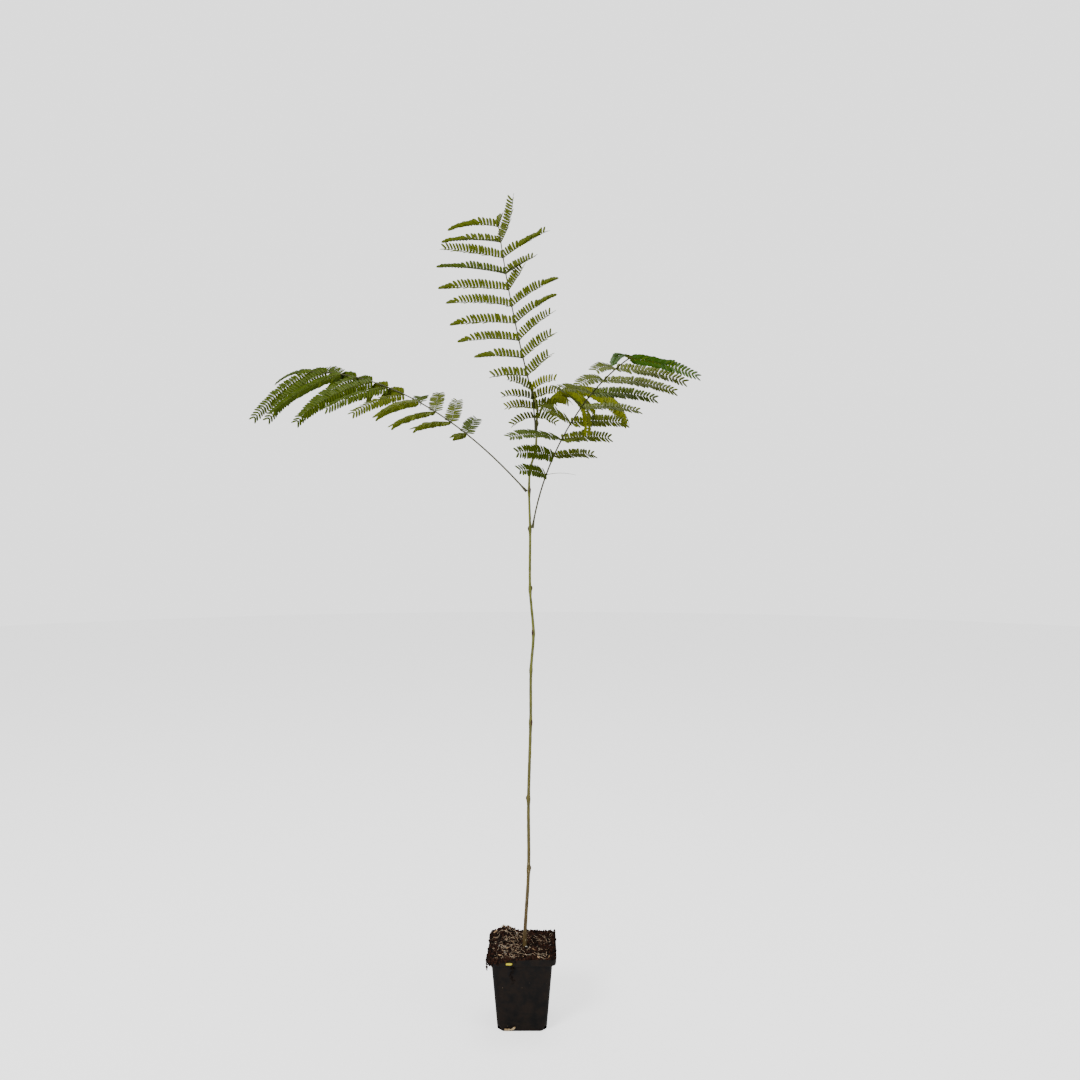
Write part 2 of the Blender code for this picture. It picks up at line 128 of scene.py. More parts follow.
JOINT_SPREAD = 0.006
BUD_LENGTH = 0.0075
BUD_RADIUS = 0.0019
BUD_TURN = 144
FIRST_BUD_HEADING = 20
BUD_SINK = 0.85
BUD_RISE = 0.3

# Leaves: stalks and midribs, with a knee where each pair of sprays leaves the midrib.
STALK_BASE_RADIUS = 0.0025
STALK_RADIUS = 0.0014
STALK_END_RADIUS = 0.0013
SWELLING_LENGTH = 0.010
MIDRIB_TIP_RADIUS = 0.0010
MIDRIB_STEPS = 150
KNEE_EXTRA = 0.00025
KNEE_SPREAD = 0.0022
LEAF_STEPS = 24

# Leaflets: length in metres, other sizes as shares of it, and how far they lean towards the
# spray's end, in degrees: more along the spray, and most past END_LEAN_START.
LEAFLET_LENGTH = 0.0135
LEAFLET_WIDTH = 0.36
END_LEAFLET_WIDTH = 0.85
LEAFLET_BASE_WIDTH = 0.32
LEAFLET_THICKNESS = 0.02
END_LEAFLET_SHARE = 0.85
LONGEST_LEAFLET_SHIFT = 1.15
ROOT_LEAN = 12
LEAN_GROWTH = 20
END_LEAN_START = 0.9
END_LEAN_GROWTH = 220
CLOSED_LEAN = 38
CLOSED_WIDTH = 1.35
CLOSED_RAMP = 8
NEVER_CLOSED = (2, -1)

# Sprays: steps, ribs, and how much each spray and leaflet may vary, in shares or degrees.
SPRAY_STEPS = 24
SPRAY_SMOOTHING = 0.04
RIB_RADIUS = 0.00055
RIB_TIP_RADIUS = 0.0002
RIB_SWELLING = 0.0004
LENGTH_VARIES = 0.05
SPREAD_VARIES = 2.5
DROOP_VARIES = 4
FOLD_VARIES = 3
LEAN_VARIES = 2
TWIST_VARIES = 4
FACING_VARIES = 7
END_FACING = 14
SIZE_VARIES = 0.05

# Sprays that differ from their leaf's rule, by leaf, pair from the base and side: facing at
# the root and the end, the stretch with closed leaflets, share of the length, extra spread
# (steer) and droop, a tint of its own, or bare of leaflets.
ODD_SPRAYS = {
    ("right", 0, LEFT): dict(bare=True),
    ("right", 1, RIGHT): dict(length=1.15, steer=8),
    ("right", 2, RIGHT): dict(length=1.35, steer=14),
    ("right", 5, RIGHT): dict(length=0.7, steer=16),
    ("right", 6, RIGHT): dict(length=0.6, steer=20, droop=14),
    ("right", 7, RIGHT): dict(length=0.55, steer=18, droop=12),
    ("right", 8, LEFT): dict(facing=(86, 40), closed=(0, 0.45), length=0.92, tint="clear"),
    ("right", 8, RIGHT): dict(closed=(0, 1), length=0.88, steer=6, droop=16, tint="clear"),
    ("upper", 1, LEFT): dict(closed=(0.68, 1)),
    ("upper", 2, LEFT): dict(closed=(0.9, 1)),
    ("upper", 3, LEFT): dict(closed=(0.88, 1)),
    ("upper", 3, RIGHT): dict(closed=(0.6, 1)),
    ("upper", 4, LEFT): dict(closed=(0.92, 1)),
    ("upper", 4, RIGHT): dict(closed=(0.75, 1)),
    ("upper", 5, LEFT): dict(closed=(0.86, 1)),
    ("upper", 5, RIGHT): dict(length=0.5, steer=-6, droop=-34),
    ("upper", 6, LEFT): dict(closed=(0.68, 1)),
    ("upper", 6, RIGHT): dict(length=0.62, steer=6, droop=-8),
    ("upper", 7, LEFT): dict(droop=-8),
    ("upper", 7, RIGHT): dict(closed=(0.4, 0.8), length=1.05, steer=4, droop=-6),
    ("upper", 8, LEFT): dict(closed=(0.62, 1)),
    ("upper", 8, RIGHT): dict(length=0.95, steer=-16, droop=-75),
    ("upper", 9, LEFT): dict(closed=(0.45, 1), droop=14),
    ("upper", 9, RIGHT): dict(closed=(0, 1), length=0.36, steer=-30),
    ("left", 0, LEFT): dict(closed=(0, 1), length=0.55),
    ("left", 0, RIGHT): dict(facing=(80, 76), length=1.4, steer=-4),
    ("left", 1, LEFT): dict(closed=(0, 0.9)),
    ("left", 1, RIGHT): dict(facing=(78, 66), length=1.1, steer=-3, droop=-12),
    ("left", 2, LEFT): dict(closed=(0, 0.9)),
    ("left", 3, LEFT): dict(closed=(0, 0.9), length=0.76, droop=16),
    ("left", 3, RIGHT): dict(length=0.8, droop=40),
    ("left", 4, LEFT): dict(facing=(16, 30), length=0.86),
    ("left", 4, RIGHT): dict(facing=(80, 80), closed=(0, 1), length=0.5, steer=-20, droop=50),
    ("left", 5, LEFT): dict(facing=(22, 36), length=0.92),
    ("left", 5, RIGHT): dict(facing=(85, 85), closed=(0, 1), length=0.45, steer=-34, droop=70),
    ("left", 6, RIGHT): dict(facing=(85, 85), closed=(0, 1), length=0.6, steer=-32, droop=50),
    ("left", 7, RIGHT): dict(facing=(88, 60), closed=(0, 1), length=0.7, steer=-26, droop=40),
    ("left", 8, LEFT): dict(closed=(0, 0.9)),
    ("left", 9, RIGHT): dict(facing=(85, 70), closed=(0, 1), droop=20),
    ("left", 10, RIGHT): dict(closed=(0, 1)),
    ("arching", 2, RIGHT): dict(facing=(60, 88), steer=26, droop=30),
}

# Each leaf: its random seed, the height of its joint, its heading and the turn of that to
# the tip, the rise above level at base and tip and how late it bends over, the lengths of
# stalk and midrib, the pairs of sprays and their length at base, middle and tip, their
# spread from the midrib and how much more on the left, and the roll about the midrib. Then,
# at base and tip, the tilt and droop of the sprays; for each side, left first, the fold of
# the front and back rows of leaflets, and the lean of the sprays' faces to the viewer at base
# and tip; the sprays' unrest, the space between leaflets, and their length and width. Angles
# are in degrees.
LEAVES = {
    "right": dict(
        seed=1, height=0.800, heading=-43, turn=-17, rise=(78, 14), bend=1.0,
        stalk=0.091, midrib=0.260, pairs=9, spray=(0.062, 0.096, 0.107),
        spread=(74, 51), more_left=(0, 9), roll=(-2, -4),
        tilt=(2, -8), droop=(22, 22), fold=((6, 6), (6, 6)),
        facing=((34, 38), (60, 35)), unrest=2, pitch=0.0050, leaflet=1.0, slim=1.05,
    ),
    "left": dict(
        seed=2, height=0.860, heading=158, turn=-7, rise=(46, 5), bend=1.2,
        stalk=0.148, midrib=0.360, pairs=11, spray=(0.053, 0.128, 0.134),
        spread=(74, 27), more_left=(4, 13), roll=(-12, -35),
        tilt=(8, -14), droop=(22, 30), fold=((0, -42), (6, 6)),
        facing=((16, 72), (75, 50)), unrest=5, pitch=0.0050, leaflet=1.05, slim=1.0,
    ),
    "upper": dict(
        seed=3, height=0.995, heading=114, turn=-10, rise=(58, 61), bend=1.0,
        stalk=0.069, midrib=0.352, pairs=10, spray=(0.060, 0.114, 0.085),
        spread=(56, 57), more_left=(10, 14), roll=(-22, -6),
        tilt=(-2, -2), droop=(15, 15), fold=((0, 78), (0, 78)),
        facing=((84, 84), (80, 80)), unrest=2, pitch=0.0059, leaflet=1.14, slim=0.98,
    ),
    "arching": dict(
        seed=8, height=0.990, heading=10, turn=-10, rise=(62, 30), bend=1.0,
        stalk=0.014, midrib=0.026, pairs=4, spray=(0.060, 0.140, 0.150),
        spread=(40, 12), more_left=(0, 0), roll=(0, 0),
        tilt=(10, 10), droop=(120, 120), fold=((-52, -52), (-52, -52)),
        facing=((32, 32), (32, 32)), unrest=2, pitch=0.0045, leaflet=1.05, slim=1.0,
    ),
    "young": dict(
        seed=5, height=0.954, heading=258, turn=8, rise=(68, 50), bend=1.0,
        stalk=0.026, midrib=0.048, pairs=4, spray=(0.036, 0.046, 0.048),
        spread=(80, 50), more_left=(0, 0), roll=(0, 0),
        tilt=(0, 0), droop=(35, 35), fold=((45, 45), (45, 45)),
        facing=((60, 60), (60, 60)), unrest=8, pitch=0.0046, leaflet=0.88, slim=0.98,
    ),
}

# Leaf tints: darkest and lightest colour, in 0 to 255, then those of every underside and rib,
# and the colour along the middle of each leaflet.
TINTS = {
    "olive": ((68, 80, 0), (94, 104, 0)),
    "deep": ((50, 67, 0), (74, 91, 0)),
    "clear": ((36, 68, 0), (58, 92, 0)),
    "pale": ((98, 106, 2), (126, 132, 6)),
}
UNDERSIDE = ((56, 66, 2), (78, 88, 10))
RIB_GREEN = ((50, 54, 4), (72, 76, 14))
VEIN = (96, 104, 8)

# Studio: brightness of floor and backdrop to the camera, and of the soft light from all
# round. Each lamp has a place, a target, a size and a power.
FLOOR_GLOW = 1.4
BACKDROP_STRENGTH = 2.0
SOFT_STRENGTH = 0.5
CAMERA_PLACE = (0.0286, -1.5033, 0.7885)
CAMERA_TILT = 89.7
CAMERA_LENS = 30.79
SENSOR_WIDTH = 36
LAMPS = {
    "key_light": ((-1.6, -2.2, 2.6), (0, 0, 0.8), 1.2, 85),
    "fill_light": ((2.4, -1.6, 1.4), (0, 0, 0.7), 1.6, 20),
    "top_light": ((0.2, 0.6, 3.2), (0, 0, 0.8), 1.5, 35),
}


# ---------------------------------------------------------------- pieces


def between(pair, share):
    return pair[0] + (pair[1] - pair[0]) * share


def level_at(heading):
    """The level direction at a heading in radians."""
    return Vector((math.cos(heading), math.sin(heading), 0))


def finished(obj, slot, *nodes):
    """Puts a piece on the body and hides the plain solids it stands for; the name of its finish is
    not used.
    """
    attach(obj, BODY)
    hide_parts(*nodes)


def linked(name, data):
    """A new object in the scene."""
    obj = bpy.data.objects.new(name, data)
    bpy.context.scene.collection.objects.link(obj)
    return obj


def object_of(name, mesh, materials):
    for material in materials:
        mesh.materials.append(material)
    return linked(name, mesh)


def evaluated_mesh(obj):
    """The mesh that an object's curve or modifiers make."""
    bpy.context.view_layer.update()
    graph = bpy.context.evaluated_depsgraph_get()
    return bpy.data.meshes.new_from_object(obj.evaluated_get(graph))


def mesh_of(name, bm, smooth=True):
    for face in bm.faces:
        face.smooth = smooth
    mesh = bpy.data.meshes.new(name)
    bm.to_mesh(mesh)
    bm.free()
    return mesh


def tube_mesh(name, routes, sides_level):
    """One mesh of round tubes; each route is a list of points and a list of radii."""
    curve = bpy.data.curves.new(name, "CURVE")
    curve.dimensions = "3D"
    curve.bevel_depth = 1.0
    curve.bevel_resolution = sides_level
    curve.use_fill_caps = True
    for points, radii in routes:
        spline = curve.splines.new("POLY")
        spline.points.add(len(points) - 1)
        for knot, place, radius in zip(spline.points, points, radii):
            knot.co = (*place, 1)
            knot.radius = radius
    obj = linked(name, curve)
    mesh = evaluated_mesh(obj)
    bpy.data.objects.remove(obj, do_unlink=True)
    bpy.data.curves.remove(curve)
    bm = bmesh.new()
    bm.from_mesh(mesh)
    bmesh.ops.remove_doubles(bm, verts=bm.verts, dist=0.000001)
    bmesh.ops.recalc_face_normals(bm, faces=bm.faces)
    bm.to_mesh(mesh)
    bm.free()
    mesh.polygons.foreach_set("use_smooth", [True] * len(mesh.polygons))
    return mesh


def template_of(bm):
    """Points, corners, corner count, texture places, material number and smoothness of a shape."""
    bmesh.ops.recalc_face_normals(bm, faces=bm.faces)
    bm.verts.index_update()
    layer = bm.loops.layers.uv.active
    corners = [loop for face in bm.faces for loop in face.loops]
    template = dict(
        points=np.array([vert.co[:] for vert in bm.verts]),
        corners=np.array([loop.vert.index for loop in corners]),
        counts=np.array([len(face.verts) for face in bm.faces]),
        places=np.array([loop[layer].uv[:] if layer else (0, 0) for loop in corners]),
        material=np.array([face.material_index for face in bm.faces]),
        smooth=np.array([face.smooth for face in bm.faces]),
    )
    bm.free()
    return template


def joined_copies(name, groups):
    """One mesh of many copies; a group is a template, frames, places and material numbers."""
    points, corners, counts, uvs, materials, smooth = [], [], [], [], [], []
    offset = 0
    for template, frames, places, numbers in groups:
        copies = len(places)
        size = len(template["points"])
        moved = np.einsum("nij,vj->nvi", np.array(frames), template["points"])
        points.append((moved + np.array(places)[:, None]).reshape(-1, 3))
        starts = offset + size * np.arange(copies)[:, None]
        corners.append((template["corners"][None] + starts).ravel())
        counts.append(np.tile(template["counts"], copies))
        uvs.append(np.tile(template["places"], (copies, 1)))
        materials.append((template["material"][None] + np.array(numbers)[:, None]).ravel())
        smooth.append(np.tile(template["smooth"], copies))
        offset += size * copies
    points, corners, counts = map(np.concatenate, (points, corners, counts))
    mesh = bpy.data.meshes.new(name)
    mesh.vertices.add(len(points))
    mesh.vertices.foreach_set("co", points.astype(np.float32).ravel())
    mesh.loops.add(len(corners))
    mesh.loops.foreach_set("vertex_index", corners.astype(np.int32))
    mesh.polygons.add(len(counts))
    starts = np.concatenate(([0], np.cumsum(counts)[:-1]))
    mesh.polygons.foreach_set("loop_start", starts.astype(np.int32))
    mesh.polygons.foreach_set("material_index", np.concatenate(materials).astype(np.int32))
    mesh.polygons.foreach_set("use_smooth", np.concatenate(smooth))
    layer = mesh.uv_layers.new(name="shape")
    mesh.update(calc_edges=True)
    layer.data.foreach_set("uv", np.concatenate(uvs).astype(np.float32).ravel())
    mesh.validate()
    return mesh


def build_copies(name, groups, materials, slot, node):
    """A finished piece of many copies."""
    finished(object_of(name, joined_copies(name, groups), materials), slot, node)


# ---------------------------------------------------------------- materials


def group_of(name, inputs, outputs):
    """A shader node group with the sockets of its input and output nodes."""
    tree = bpy.data.node_groups.new(name, "ShaderNodeTree")
    for way, sockets in (("INPUT", inputs), ("OUTPUT", outputs)):
        for label, kind in sockets.items():
            tree.interface.new_socket(label, in_out=way, socket_type=f"NodeSocket{kind}")
    return tree, tree.nodes.new("NodeGroupInput").outputs, tree.nodes.new("NodeGroupOutput").inputs


def worked(tree, operation, *values):
    """What a math node makes of its values; each is a socket or a number."""
    node = tree.nodes.new("ShaderNodeMath")
    node.operation = operation
    for entry, value in zip(node.inputs, values):
        if isinstance(value, float):
            entry.default_value = value
        else:
            tree.links.new(value, entry)
    return node.outputs[0]


def blended(tree, mask, first, second):
    """Mixes two colours by a mask; each colour is a socket or a plain colour."""
    mix = tree.nodes.new("ShaderNodeMix")
    mix.data_type = "RGBA"
    tree.links.new(mask, mix.inputs["Factor"])
    for label, value in (("A", first), ("B", second)):
        if isinstance(value, tuple):
            mix.inputs[label].default_value = value
        else:
            tree.links.new(value, mix.inputs[label])
    return mix.outputs["Result"]


def mottle_group():
    """Cloudy change between two colours, with its mask."""
    tree, source, result = group_of(
        "mottle",
        dict(Place="Vector", Scale="Float", Contrast="Float", Dark="Color", Light="Color"),
        dict(Colour="Color", Mask="Float"),
    )
    cloud = tree.nodes.new("ShaderNodeTexNoise")
    cloud.inputs["Detail"].default_value = 6
    cloud.inputs["Roughness"].default_value = 0.6
    tree.links.new(source["Place"], cloud.inputs["Vector"])
    tree.links.new(source["Scale"], cloud.inputs["Scale"])
    centred = worked(tree, "SUBTRACT", cloud.outputs["Fac"], 0.5)
    stronger = worked(tree, "MULTIPLY", centred, source["Contrast"])
    mask = worked(tree, "ADD", stronger, 0.5)
    mask.node.use_clamp = True
    tree.links.new(blended(tree, mask, source["Dark"], source["Light"]), result["Colour"])
    tree.links.new(mask, result["Mask"])
    return tree


def speck_group():
    """Scattered round specks, as lenticels on bark or dust on plastic."""
    inputs = dict(Place="Vector", Scale="Float", Size="Float", Share="Float")
    tree, source, result = group_of("specks", inputs, dict(Mask="Float"))
    cells = tree.nodes.new("ShaderNodeTexVoronoi")
    parts = tree.nodes.new("ShaderNodeSeparateColor")
    tree.links.new(source["Place"], cells.inputs["Vector"])
    tree.links.new(source["Scale"], cells.inputs["Scale"])
    tree.links.new(cells.outputs["Color"], parts.inputs[0])
    near = worked(tree, "LESS_THAN", cells.outputs["Distance"], source["Size"])
    chosen = worked(tree, "LESS_THAN", parts.outputs[0], source["Share"])
    tree.links.new(worked(tree, "MULTIPLY", near, chosen), result["Mask"])
    return tree


def colour(*rgb):
    """Linear colour of an sRGB one given in 0 to 255."""
    linear = []
    for value in rgb:
        share = value / 255
        linear.append(share / 12.92 if share <= 0.04045 else ((share + 0.055) / 1.055) ** 2.4)
    return (*linear, 1)


def surface(name, roughness, specular):
    """A new material with its tree, shader and texture coordinates."""
    material = bpy.data.materials.new(name)
    material.use_nodes = True
    tree = material.node_tree
    shader = tree.nodes["Principled BSDF"]
    shader.inputs["Roughness"].default_value = roughness
    shader.inputs["Specular IOR Level"].default_value = specular
    return material, tree, shader.inputs, tree.nodes.new("ShaderNodeTexCoord").outputs


def placed(tree, group, place, **values):
    """The results of a node group in a material, at a texture place and with its own values."""
    node = tree.nodes.new("ShaderNodeGroup")
    node.node_tree = group
    tree.links.new(place, node.inputs["Place"])
    for label, value in values.items():
        node.inputs[label].default_value = value
    return node.outputs


def mottled(tree, place, scale, contrast, dark=(0, 0, 0), light=(255, 255, 255)):
    colours = dict(Dark=colour(*dark), Light=colour(*light))
    return placed(tree, MOTTLE, place, Scale=scale, Contrast=contrast, **colours)


def add_bump(tree, shader, height, distance, strength=1.0):
    bump = tree.nodes.new("ShaderNodeBump")
    bump.inputs["Distance"].default_value = distance
    bump.inputs["Strength"].default_value = strength
    tree.links.new(height, bump.inputs["Height"])
    tree.links.new(bump.outputs["Normal"], shader["Normal"])


def plain_finish(name, roughness, specular, mottle, relief):
    """A mottled skin with a fine relief; mottle is its scale, contrast and two colours."""
    material, tree, shader, places = surface(name, roughness, specular)
    skin = mottled(tree, places["Object"], *mottle)
    tree.links.new(skin["Colour"], shader["Base Color"])
    add_bump(tree, shader, skin["Mask"], relief)
    return material


def earth_finish(name, dark, light, roughness=0.95):
    return plain_finish(name, roughness, 0.15, (420.0, 3.0, dark, light), 0.0006)


def leaf_finish(name, tones, roughness):
    """Leaf skin: faintly mottled, with a paler midrib along each leaflet."""
    material, tree, shader, places = surface(name, roughness, 0.15)
    skin = mottled(tree, places["Object"], 90.0, 1.6, *tones)
    parts = tree.nodes.new("ShaderNodeSeparateXYZ")
    tree.links.new(places["UV"], parts.inputs[0])
    away = worked(tree, "ABSOLUTE", worked(tree, "SUBTRACT", parts.outputs["Y"], 0.5))
    rib = worked(tree, "LESS_THAN", away, 0.055)
    tree.links.new(blended(tree, rib, skin["Colour"], colour(*VEIN)), shader["Base Color"])
    add_bump(tree, shader, skin["Mask"], 0.0002, 0.5)
    return material


def bark_finish():
    """Young bark: brown at the foot, olive green above, with pale lenticels."""
    material, tree, shader, places = surface("young_bark", 0.55, 0.4)
    stretch = tree.nodes.new("ShaderNodeMapping")
    stretch.inputs["Scale"].default_value = (1, 1, 0.25)
    tree.links.new(places["Object"], stretch.inputs["Vector"])
    drawn_out = stretch.outputs[0]
    brown = mottled(tree, drawn_out, 260.0, 2.4, (58, 44, 24), (112, 92, 48))
    green = mottled(tree, drawn_out, 220.0, 2.0, (72, 76, 22), (122, 124, 48))
    parts = tree.nodes.new("ShaderNodeSeparateXYZ")
    tree.links.new(places["Object"], parts.inputs[0])
    climb = tree.nodes.new("ShaderNodeMapRange")
    climb.inputs["From Min"].default_value = 0.16
    climb.inputs["From Max"].default_value = 0.62
    tree.links.new(parts.outputs["Z"], climb.inputs["Value"])
    base = blended(tree, climb.outputs[0], brown["Colour"], green["Colour"])
    specks = placed(tree, SPECKS, drawn_out, Scale=420.0, Size=0.22, Share=0.22)
    speckled = blended(tree, specks["Mask"], base, colour(150, 138, 100))
    tree.links.new(speckled, shader["Base Color"])
    add_bump(tree, shader, brown["Mask"], 0.0002)
    return material


def pot_finish():
    """Black moulded plastic with a satin face, soil dust and specks."""
    material, tree, shader, places = surface("pot_plastic", 0.42, 0.14)
    place = places["Object"]
    skin = mottled(tree, place, 28.0, 1.8, (5, 4, 4), (11, 9, 8))
    dust = mottled(tree, place, 75.0, 5.0)["Mask"]
    faint = worked(tree, "MULTIPLY", dust, 0.16)
    dusted = blended(tree, faint, skin["Colour"], colour(70, 54, 42))
    specks = placed(tree, SPECKS, place, Scale=260.0, Size=0.16, Share=0.06)
    speckled = blended(tree, specks["Mask"], dusted, colour(104, 88, 72))
    tree.links.new(speckled, shader["Base Color"])
    rough = tree.nodes.new("ShaderNodeMapRange")
    rough.inputs["To Min"].default_value = 0.4
    rough.inputs["To Max"].default_value = 0.62
    tree.links.new(dust, rough.inputs["Value"])
    tree.links.new(rough.outputs[0], shader["Roughness"])
    add_bump(tree, shader, mottled(tree, place, 900.0, 2.0)["Mask"], 0.00006)
    return material


# ---------------------------------------------------------------- pot


def square_ring(bm, half_width, height):
    """A ring of points in the outline of a square with rounded corners."""
    ring = bmesh.ops.create_circle(bm, segments=POT_SIDES, radius=1)["verts"]
    power = 2 / CORNER_SHARPNESS
    for vert in ring:
        x, y = (0 if abs(value) < 1e-6 else value for value in vert.co.xy)
        vert.co.x = half_width * math.copysign(abs(x) ** power, x)
        vert.co.y = half_width * math.copysign(abs(y) ** power, y)
        vert.co.z = height
    return ring


def ring_edges(ring):
    members = set(ring)
    edges = dict.fromkeys(edge for vert in ring for edge in vert.link_edges)
    return [edge for edge in edges if set(edge.verts) <= members]


def stacked_rings(bm, sections):
    """A closed wall through rings at (half width, height), each grown from the one before."""
    rings = [square_ring(bm, *sections[0])]
    for (old_half, _), (half_width, height) in zip(sections, sections[1:]):
        grown = bmesh.ops.extrude_edge_only(bm, edges=ring_edges(rings[-1]))["geom"]
        ring = [part for part in grown if isinstance(part, bmesh.types.BMVert)]
        ratio = half_width / old_half
        bmesh.ops.scale(bm, verts=ring, vec=(ratio, ratio, 1))
        for vert in ring:
            vert.co.z = height
        rings.append(ring)
    for end in (rings[0], rings[-1]):
        bmesh.ops.contextual_create(bm, geom=ring_edges(end))
    bmesh.ops.recalc_face_normals(bm, faces=bm.faces)
    return rings


def body_half_width(height):
    share = height / (POT_HEIGHT - RIM_BAND_HEIGHT - RIM_STEP_HEIGHT)
    return (POT_FOOT_WIDTH + (POT_BODY_TOP_WIDTH - POT_FOOT_WIDTH) * share) / 2


def drain_plane(number):
    """Heading, reach at the foot and lean of the plane that cuts one lower corner."""
    heading = math.radians(45 + 90 * number)
    depth = DRAIN_WIDTH / math.sqrt(2)
    return heading, POT_FOOT_WIDTH / math.sqrt(2) - depth, math.atan2(depth, DRAIN_HEIGHT)


def drain_cutters():
    """Four slanting blocks, one at each lower corner, as one mesh object."""
    bm = bmesh.new()
    for number in range(DRAINS):
        heading, reach, lean = drain_plane(number)
        block = bmesh.ops.create_cube(bm, size=CUTTER_SIZE)["verts"]
        bmesh.ops.translate(bm, verts=block, vec=(CUTTER_SIZE / 2, 0, 0))
        turn = Matrix.Rotation(heading, 3, "Z") @ Matrix.Rotation(lean, 3, "Y")
        bmesh.ops.rotate(bm, verts=block, cent=(0, 0, 0), matrix=turn)
        place = (reach * math.cos(heading), reach * math.sin(heading), 0)
        bmesh.ops.translate(bm, verts=block, vec=place)
    return object_of("drain_cutters", mesh_of("drain_cutters", bm, smooth=False), [])


def build_pot():
    """The shell, from its underside up the outside, over the rim and down the inside."""
    half = POT_WIDTH / 2
    band_foot = POT_HEIGHT - RIM_BAND_HEIGHT
    step_foot = band_foot - RIM_STEP_HEIGHT
    sections = [(POT_FOOT_WIDTH / 2 - 0.0011, 0), (POT_FOOT_WIDTH / 2 - 0.0003, 0.0003)]
    sections += [(body_half_width(height), height) for height in (0.0012, 0.03, 0.06, 0.09)]
    sections += [
        (body_half_width(step_foot - 0.0006), step_foot - 0.0006),
        (body_half_width(step_foot) + 0.0002, step_foot),
        (half - 0.0013, band_foot - 0.0004),
        (half - 0.0007, band_foot + 0.0002),
        (half - 0.0005, band_foot + 0.0010),
        (half - 0.0002, POT_HEIGHT - 0.0022),
        (half, POT_HEIGHT - 0.0017),
        (half, POT_HEIGHT - 0.0005),
        (half - 0.0004, POT_HEIGHT),
        (half - 0.0012, POT_HEIGHT),
        (half - 0.0015, POT_HEIGHT - 0.0006),
        (half - 0.0017, band_foot + 0.0016),
        (half - 0.0022, band_foot + 0.0010),
        (body_half_width(step_foot) - POT_WALL, step_foot + 0.0009),
        (body_half_width(0.09) - POT_WALL, 0.09),
        (body_half_width(POT_WALL) - POT_WALL, POT_WALL),
    ]
    bm = bmesh.new()
    stacked_rings(bm, sections)
    pot = object_of("nursery_pot", mesh_of("nursery_pot", bm), [pot_finish()])
    cutters = drain_cutters()
    drain = pot.modifiers.new("drains", "BOOLEAN")
    drain.operation = "DIFFERENCE"
    drain.object = cutters
    drain.solver = "EXACT"
    mesh = evaluated_mesh(pot)
    pot.modifiers.clear()
    pot.data = mesh
    mesh.set_sharp_from_angle(angle=math.radians(SHARP_ANGLE))
    bpy.data.objects.remove(cutters, do_unlink=True)
    finished(pot, "pot_plastic", "pot")


# ---------------------------------------------------------------- compost


def from_stem(x, y):
    """How far a place is from the middle of the stem's foot."""
    foot_x, foot_y = STEM_JOINTS[0][1:]
    return math.hypot(x - foot_x, y - foot_y)


def compost_height(x, y):
    """The uneven top of the compost, level close round the stem's foot."""
    away = min(1, from_stem(x, y) / LEVEL_RADIUS)
    spread = (x - HEAP_CENTRE[0]) ** 2 + (y - HEAP_CENTRE[1]) ** 2
    heap = HEAP_HEIGHT * math.exp(-spread / HEAP_SPREAD**2)
    lumps = noise.noise(Vector((x, y, 0)) * 90) * 0.0016
    lumps += noise.noise(Vector((x, y, 3)) * 260) * 0.0012
    return SOIL_LEVEL + away * (heap + lumps)


def build_compost_body(material):
    """The body of the compost, narrowed at the drains, with an uneven top."""
    half = POT_WIDTH / 2 - COMPOST_INSET
    shelf = POT_HEIGHT - RIM_BAND_HEIGHT - RIM_STEP_HEIGHT + GAP
    foot = POT_WALL + GAP
    inset = POT_WALL + COMPOST_CLEARANCE
    sections = [
        (body_half_width(foot) - inset - COMPOST_FOOT_INSET, foot),
        (body_half_width(COMPOST_FOOT_HEIGHT) - inset, COMPOST_FOOT_HEIGHT),
        (body_half_width(shelf) - inset, shelf),
        (half, COMPOST_EDGE_HEIGHT),
        (half, SOIL_LEVEL - 0.0010),
    ]
    inner = [(half * (1 - (n + 0.5) / COMPOST_RINGS), SOIL_LEVEL) for n in range(COMPOST_RINGS)]
    bm = bmesh.new()
    for ring in stacked_rings(bm, sections + inner)[len(sections):]:
        for vert in ring:
            vert.co.z = compost_height(vert.co.x, vert.co.y)
    body = object_of("compost_body", mesh_of("compost_body", bm), [material])
    finished(body, "compost", "compost")


def lump_shape(dice):
    """An angular crumb about one across."""
    bm = bmesh.new()
    bmesh.ops.create_icosphere(bm, subdivisions=1, radius=0.5)
    for vert in bm.verts:
        vert.co *= 1 + dice.uniform(-LUMP_UNEVENNESS, LUMP_UNEVENNESS)
    for face in bm.faces:
        face.smooth = False
    return template_of(bm)


def flake_shape(dice):
    """A bark flake one long, flat and uneven."""
    bm = bmesh.new()
    bmesh.ops.create_cube(bm, size=1)
    bmesh.ops.subdivide_edges(bm, edges=bm.edges, cuts=1, use_grid_fill=True)
    for vert in bm.verts:
        vert.co.x *= 1 + dice.uniform(-0.1, 0.1)
        vert.co.y *= 0.38 * (1 - 0.5 * abs(vert.co.x) + dice.uniform(-0.15, 0.15))
        vert.co.z = vert.co.z * 0.12 + 0.12 * vert.co.x * vert.co.x
    for face in bm.faces:
        face.smooth = False
    return template_of(bm)


